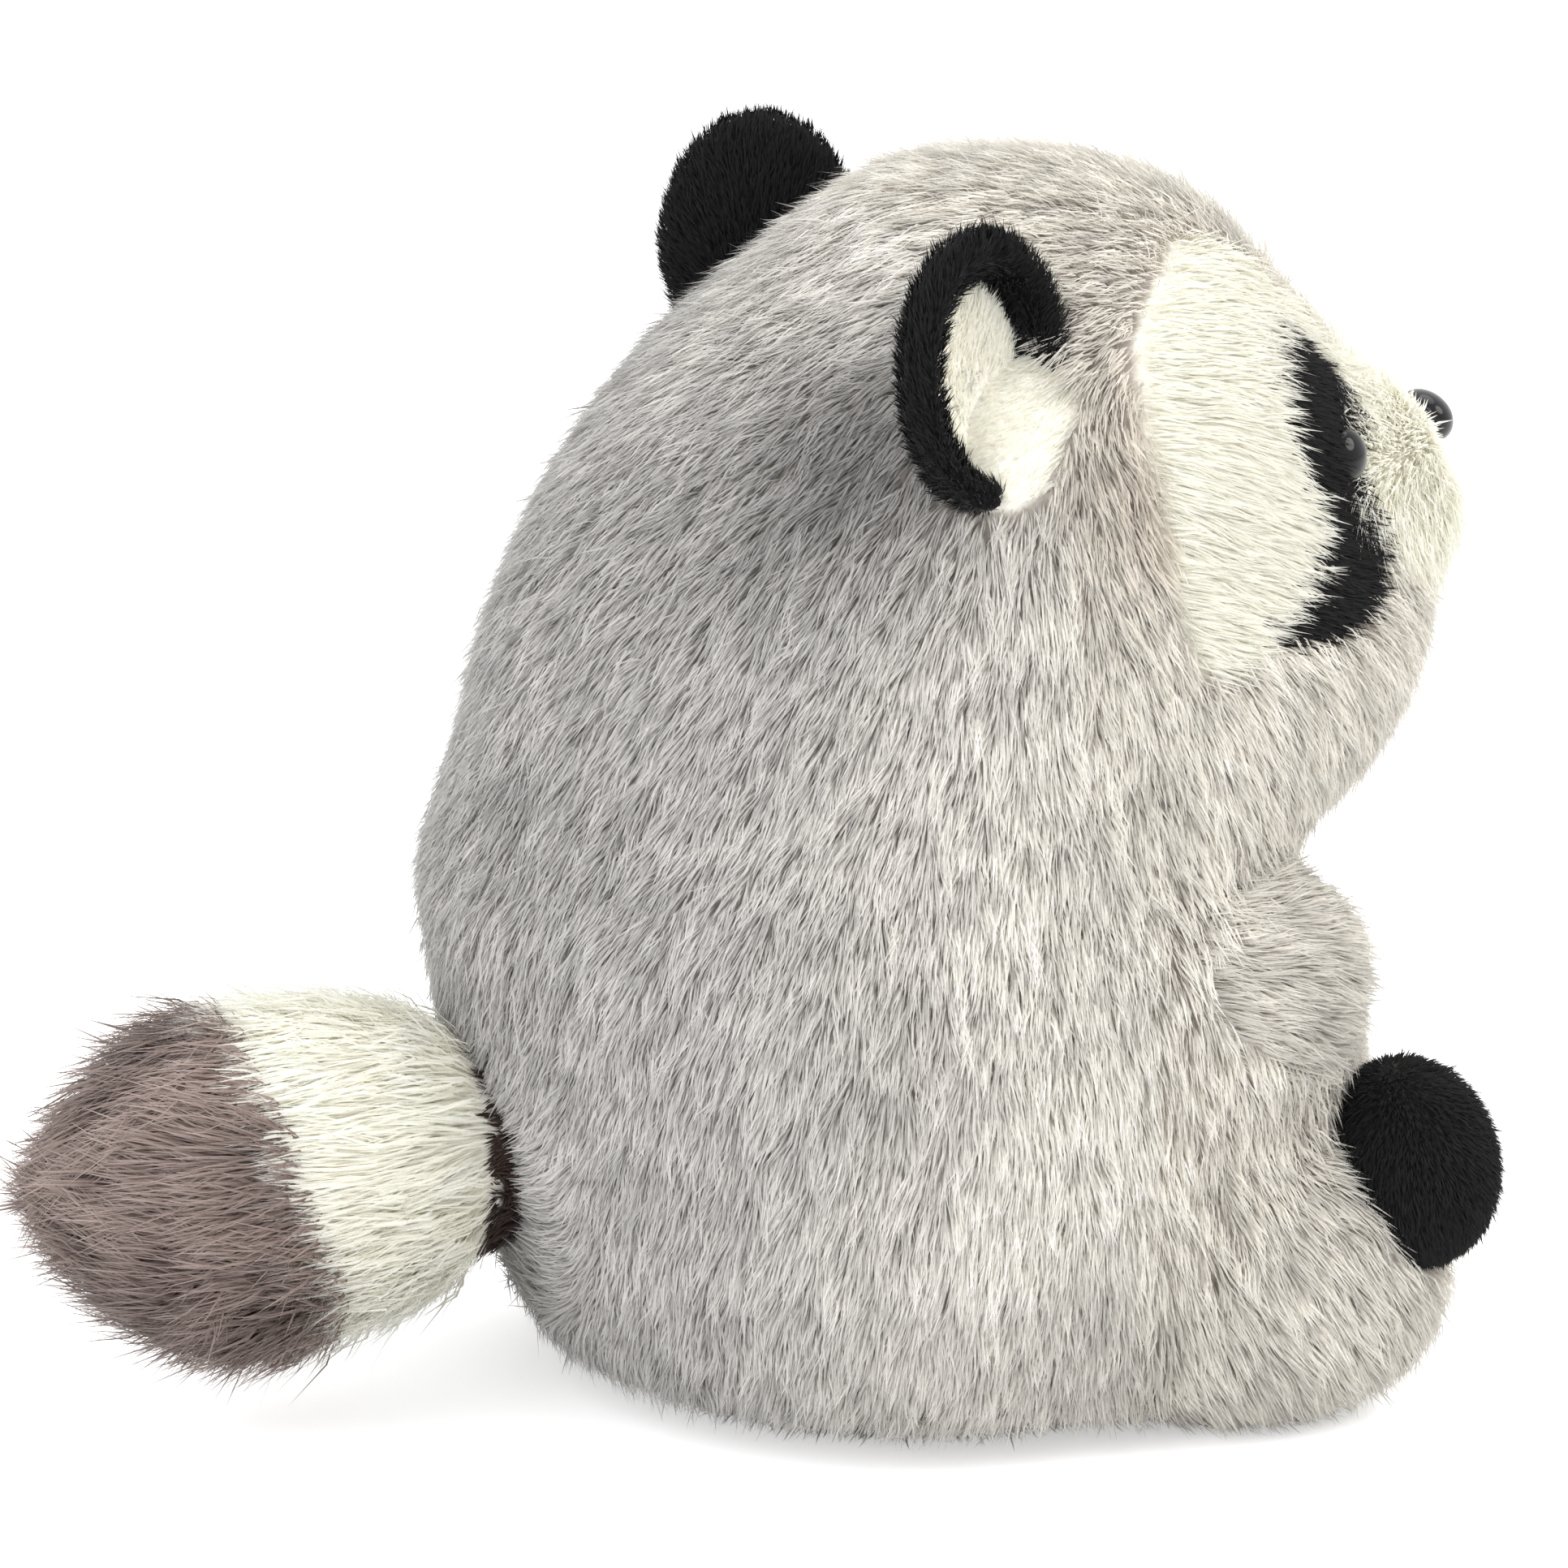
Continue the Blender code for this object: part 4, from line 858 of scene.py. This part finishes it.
# Dark polycarbonate under a clear glossy dome, moulded: black with a wet highlight. Where the surface is seen
# edge-on the rim colour shows: a painted reflection of the clear dome.
def glossMaterial(name, dark, rim, mottle):
    mat, tree, shader = newMaterial(name, IOR=1.45, Specular_IOR_Level=0.3, Coat_Weight=0.25,
                                    Coat_Roughness=0.03, Coat_IOR=1.4)
    place = addNode(tree, "TexCoord")
    specks = addNode(tree, "TexNoise", None, {"Vector": place.outputs["Object"], "Scale": mottle, "Detail": 3.0})
    # painted reflection: lighter where the surface is seen edge-on
    edge = addNode(tree, "LayerWeight", None, {"Blend": 0.35})
    mix = addNode(tree, "Mix", dict(data_type="RGBA"), {0: edge.outputs["Facing"], 6: (*linearColour(dark), 1),
                                                        7: (*linearColour(rim), 1)})
    tree.links.new(mix.outputs[2], shader.inputs["Base Color"])
    rough = addNode(tree, "MapRange", None, {"Value": specks.outputs["Fac"], "To Min": 0.06, "To Max": 0.16})
    tree.links.new(rough.outputs["Result"], shader.inputs["Roughness"])
    return mat


# Button: a ball of directions times three radii, wider above by the flare, set with its depth
# along the normal; a negative side mirrors it
def button(centre, normal, side, radii, flare=0.0):
    e = np.linspace(-math.pi / 2, math.pi / 2, 34)[:, None]
    a = np.linspace(0, 2 * math.pi, 49)[None] * side
    ball = np.stack(np.broadcast_arrays(np.cos(e) * np.cos(a), np.cos(e) * np.sin(a), np.sin(e) + 0 * a), -1)
    ball[..., 0] *= 1 + flare * ball[..., 1]
    up = unit(np.array([0, 0, 1.0]) - normal * normal[2])
    axes = np.stack([np.cross(up, normal), up, normal])
    return ((ball * radii) @ axes + centre) * [side, 1, 1]


def makeFaceParts():
    # eyes and nose: the second colour is a painted reflection at their edges
    eyeGloss = glossMaterial("moulded_acrylic_eye", "060505", "141817", 900)
    noseGloss = glossMaterial("moulded_pvc_nose", "0F0E10", "2C2C30", 700)
    centre, normal = bodyPlace(math.radians(eye["angle"]), eye["height"], -eye["sunk"])
    radii = (eye["radius"], eye["radius"], eye["depth"])
    for side, end in ((1, "_left"), (-1, "_right")):
        piece = gridPiece("eyeButton" + end, button(centre, normal, side, radii), eyeGloss, None)
        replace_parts(piece, "eye" + end)
    centre, normal = bodyPlace(0.0, body["muzzleHeight"] + noseLook["rise"], -noseLook["sunk"])
    radii = (noseLook["halfWidth"], noseLook["halfHeight"], noseLook["depth"])
    piece = gridPiece("noseButton", button(centre, normal, 1, radii, 0.16), noseGloss, None)
    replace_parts(piece, "nose")


makeFaceParts()
print("raccoon: eyes and nose")


# A pale material with clouds of the given size between two colours, and of varying roughness
def cloudyMaterial(name, size, detail, dark, pale, roughs, **values):
    mat, tree, shader = newMaterial(name, **values)
    place = addNode(tree, "TexCoord")
    cloud = addNode(tree, "TexNoise", None, {"Vector": place.outputs["Object"], "Scale": 1 / size,
                                             "Detail": detail})
    ramp = addNode(tree, "Mix", dict(data_type="RGBA"), {0: cloud.outputs["Fac"], 6: (*linearColour(dark), 1),
                                                         7: (*linearColour(pale), 1)})
    tree.links.new(ramp.outputs[2], shader.inputs["Base Color"])
    rough = addNode(tree, "MapRange", None, {"Value": cloud.outputs["Fac"], "To Min": roughs[0],
                                             "To Max": roughs[1]})
    tree.links.new(rough.outputs["Result"], shader.inputs["Roughness"])
    return mat, tree, shader, cloud


# Crimped polyester fibre: white, cloudy and matt. The washers: milky polypropylene, moulded and smooth.
def hiddenMaterials():
    mat, tree, shader, cloud = cloudyMaterial("crimped_polyester_fibre", 0.004, 5.0, "DCDCDA", "FAFAF8",
                                              (0.85, 0.98), Sheen_Weight=0.3)
    bump = addNode(tree, "Bump", None, {"Height": cloud.outputs["Fac"], "Strength": 0.8, "Distance": 0.002})
    tree.links.new(bump.outputs["Normal"], shader.inputs["Normal"])
    milky = cloudyMaterial("moulded_polypropylene_washer", 0.0008, 2.0, "E0DED6", "EFEDE6", (0.3, 0.5), IOR=1.49)[0]
    for name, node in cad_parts.items():
        use = mat if "filling" in name else milky if "washer" in name else None
        if use and len(node.data.materials):
            node.material_slots[0].material = use


hiddenMaterials()
print("raccoon: fillings and washers")


# Floor: a wide pale disc of matt paint. The camera sees it a little lighter, so that it reads white.
def makeStage():
    a = np.linspace(0, 2 * math.pi, 97)[:-1]
    ring = np.stack([6 * np.cos(a), 6 * np.sin(a), 0 * a], 1)
    mat, tree, shader, _ = cloudyMaterial("matt_white_floor", 0.25, 2.0, "F2F2F2", "F6F6F6", (0.9, 0.9))
    ray = addNode(tree, "LightPath")
    shader.inputs["Emission Color"].default_value = (1, 1, 1, 1)
    seen = addNode(tree, "Math", dict(operation="MULTIPLY"), {0: ray.outputs["Is Camera Ray"], 1: 0.45})
    tree.links.new(seen.outputs["Value"], shader.inputs["Emission Strength"])
    mesh = bpy.data.meshes.new("floor")
    mesh.from_pydata(ring, [], [list(range(96))])
    mesh.materials.append(mat)
    floor = bpy.data.objects.new("floor", mesh)
    scene.collection.objects.link(floor)


# Area light: aimed at the toy from a direction made of the camera's right, up and back
def areaLight(name, right, up, back, distance, size, level, colour):
    direction = (camRight * right + camUp * up + camBack * back).normalized()
    target = Vector((0, 0, 0.11))
    data = bpy.data.lights.new(name, "AREA")
    data.shape = "DISK"
    data.size = size
    data.energy = level * (math.pi * distance) ** 2
    data.color = linearColour(colour)
    light = bpy.data.objects.new(name, data)
    scene.collection.objects.link(light)
    light.matrix_world = (Matrix.Translation(target + direction * distance)
                          @ direction.to_track_quat("Z", "Y").to_matrix().to_4x4())


# White to the camera, in gloss and through clear parts, and a little less as light on the toy
def makeLight():
    world = bpy.data.worlds.new("studio")
    scene.world = world
    world.use_nodes = True
    tree = world.node_tree
    ray = addNode(tree, "LightPath")
    seen = addNode(tree, "Math", dict(operation="MAXIMUM"), {0: ray.outputs["Is Camera Ray"],
                                                             1: ray.outputs["Is Glossy Ray"]})
    seen = addNode(tree, "Math", dict(operation="MAXIMUM"), {0: seen.outputs["Value"],
                                                             1: ray.outputs["Is Transmission Ray"]})
    level = addNode(tree, "MapRange", None, {"Value": seen.outputs["Value"], "To Min": 0.86, "To Max": 1.0})
    sky = tree.nodes["Background"]
    sky.inputs["Color"].default_value = (1, 1, 1, 1)
    tree.links.new(level.outputs["Result"], sky.inputs["Strength"])
    areaLight("key", 0.85, 0.75, 0.45, 1.5, 1.1, 0.57, "FFFBF5")
    areaLight("fill", -0.6, 0.35, 0.9, 1.6, 1.4, 0.78, "FBFCFF")
    areaLight("top", 0.0, 1.0, -0.1, 1.5, 1.2, 0.26, "FFFFFF")


makeStage()
makeLight()
print("raccoon: floor and light")
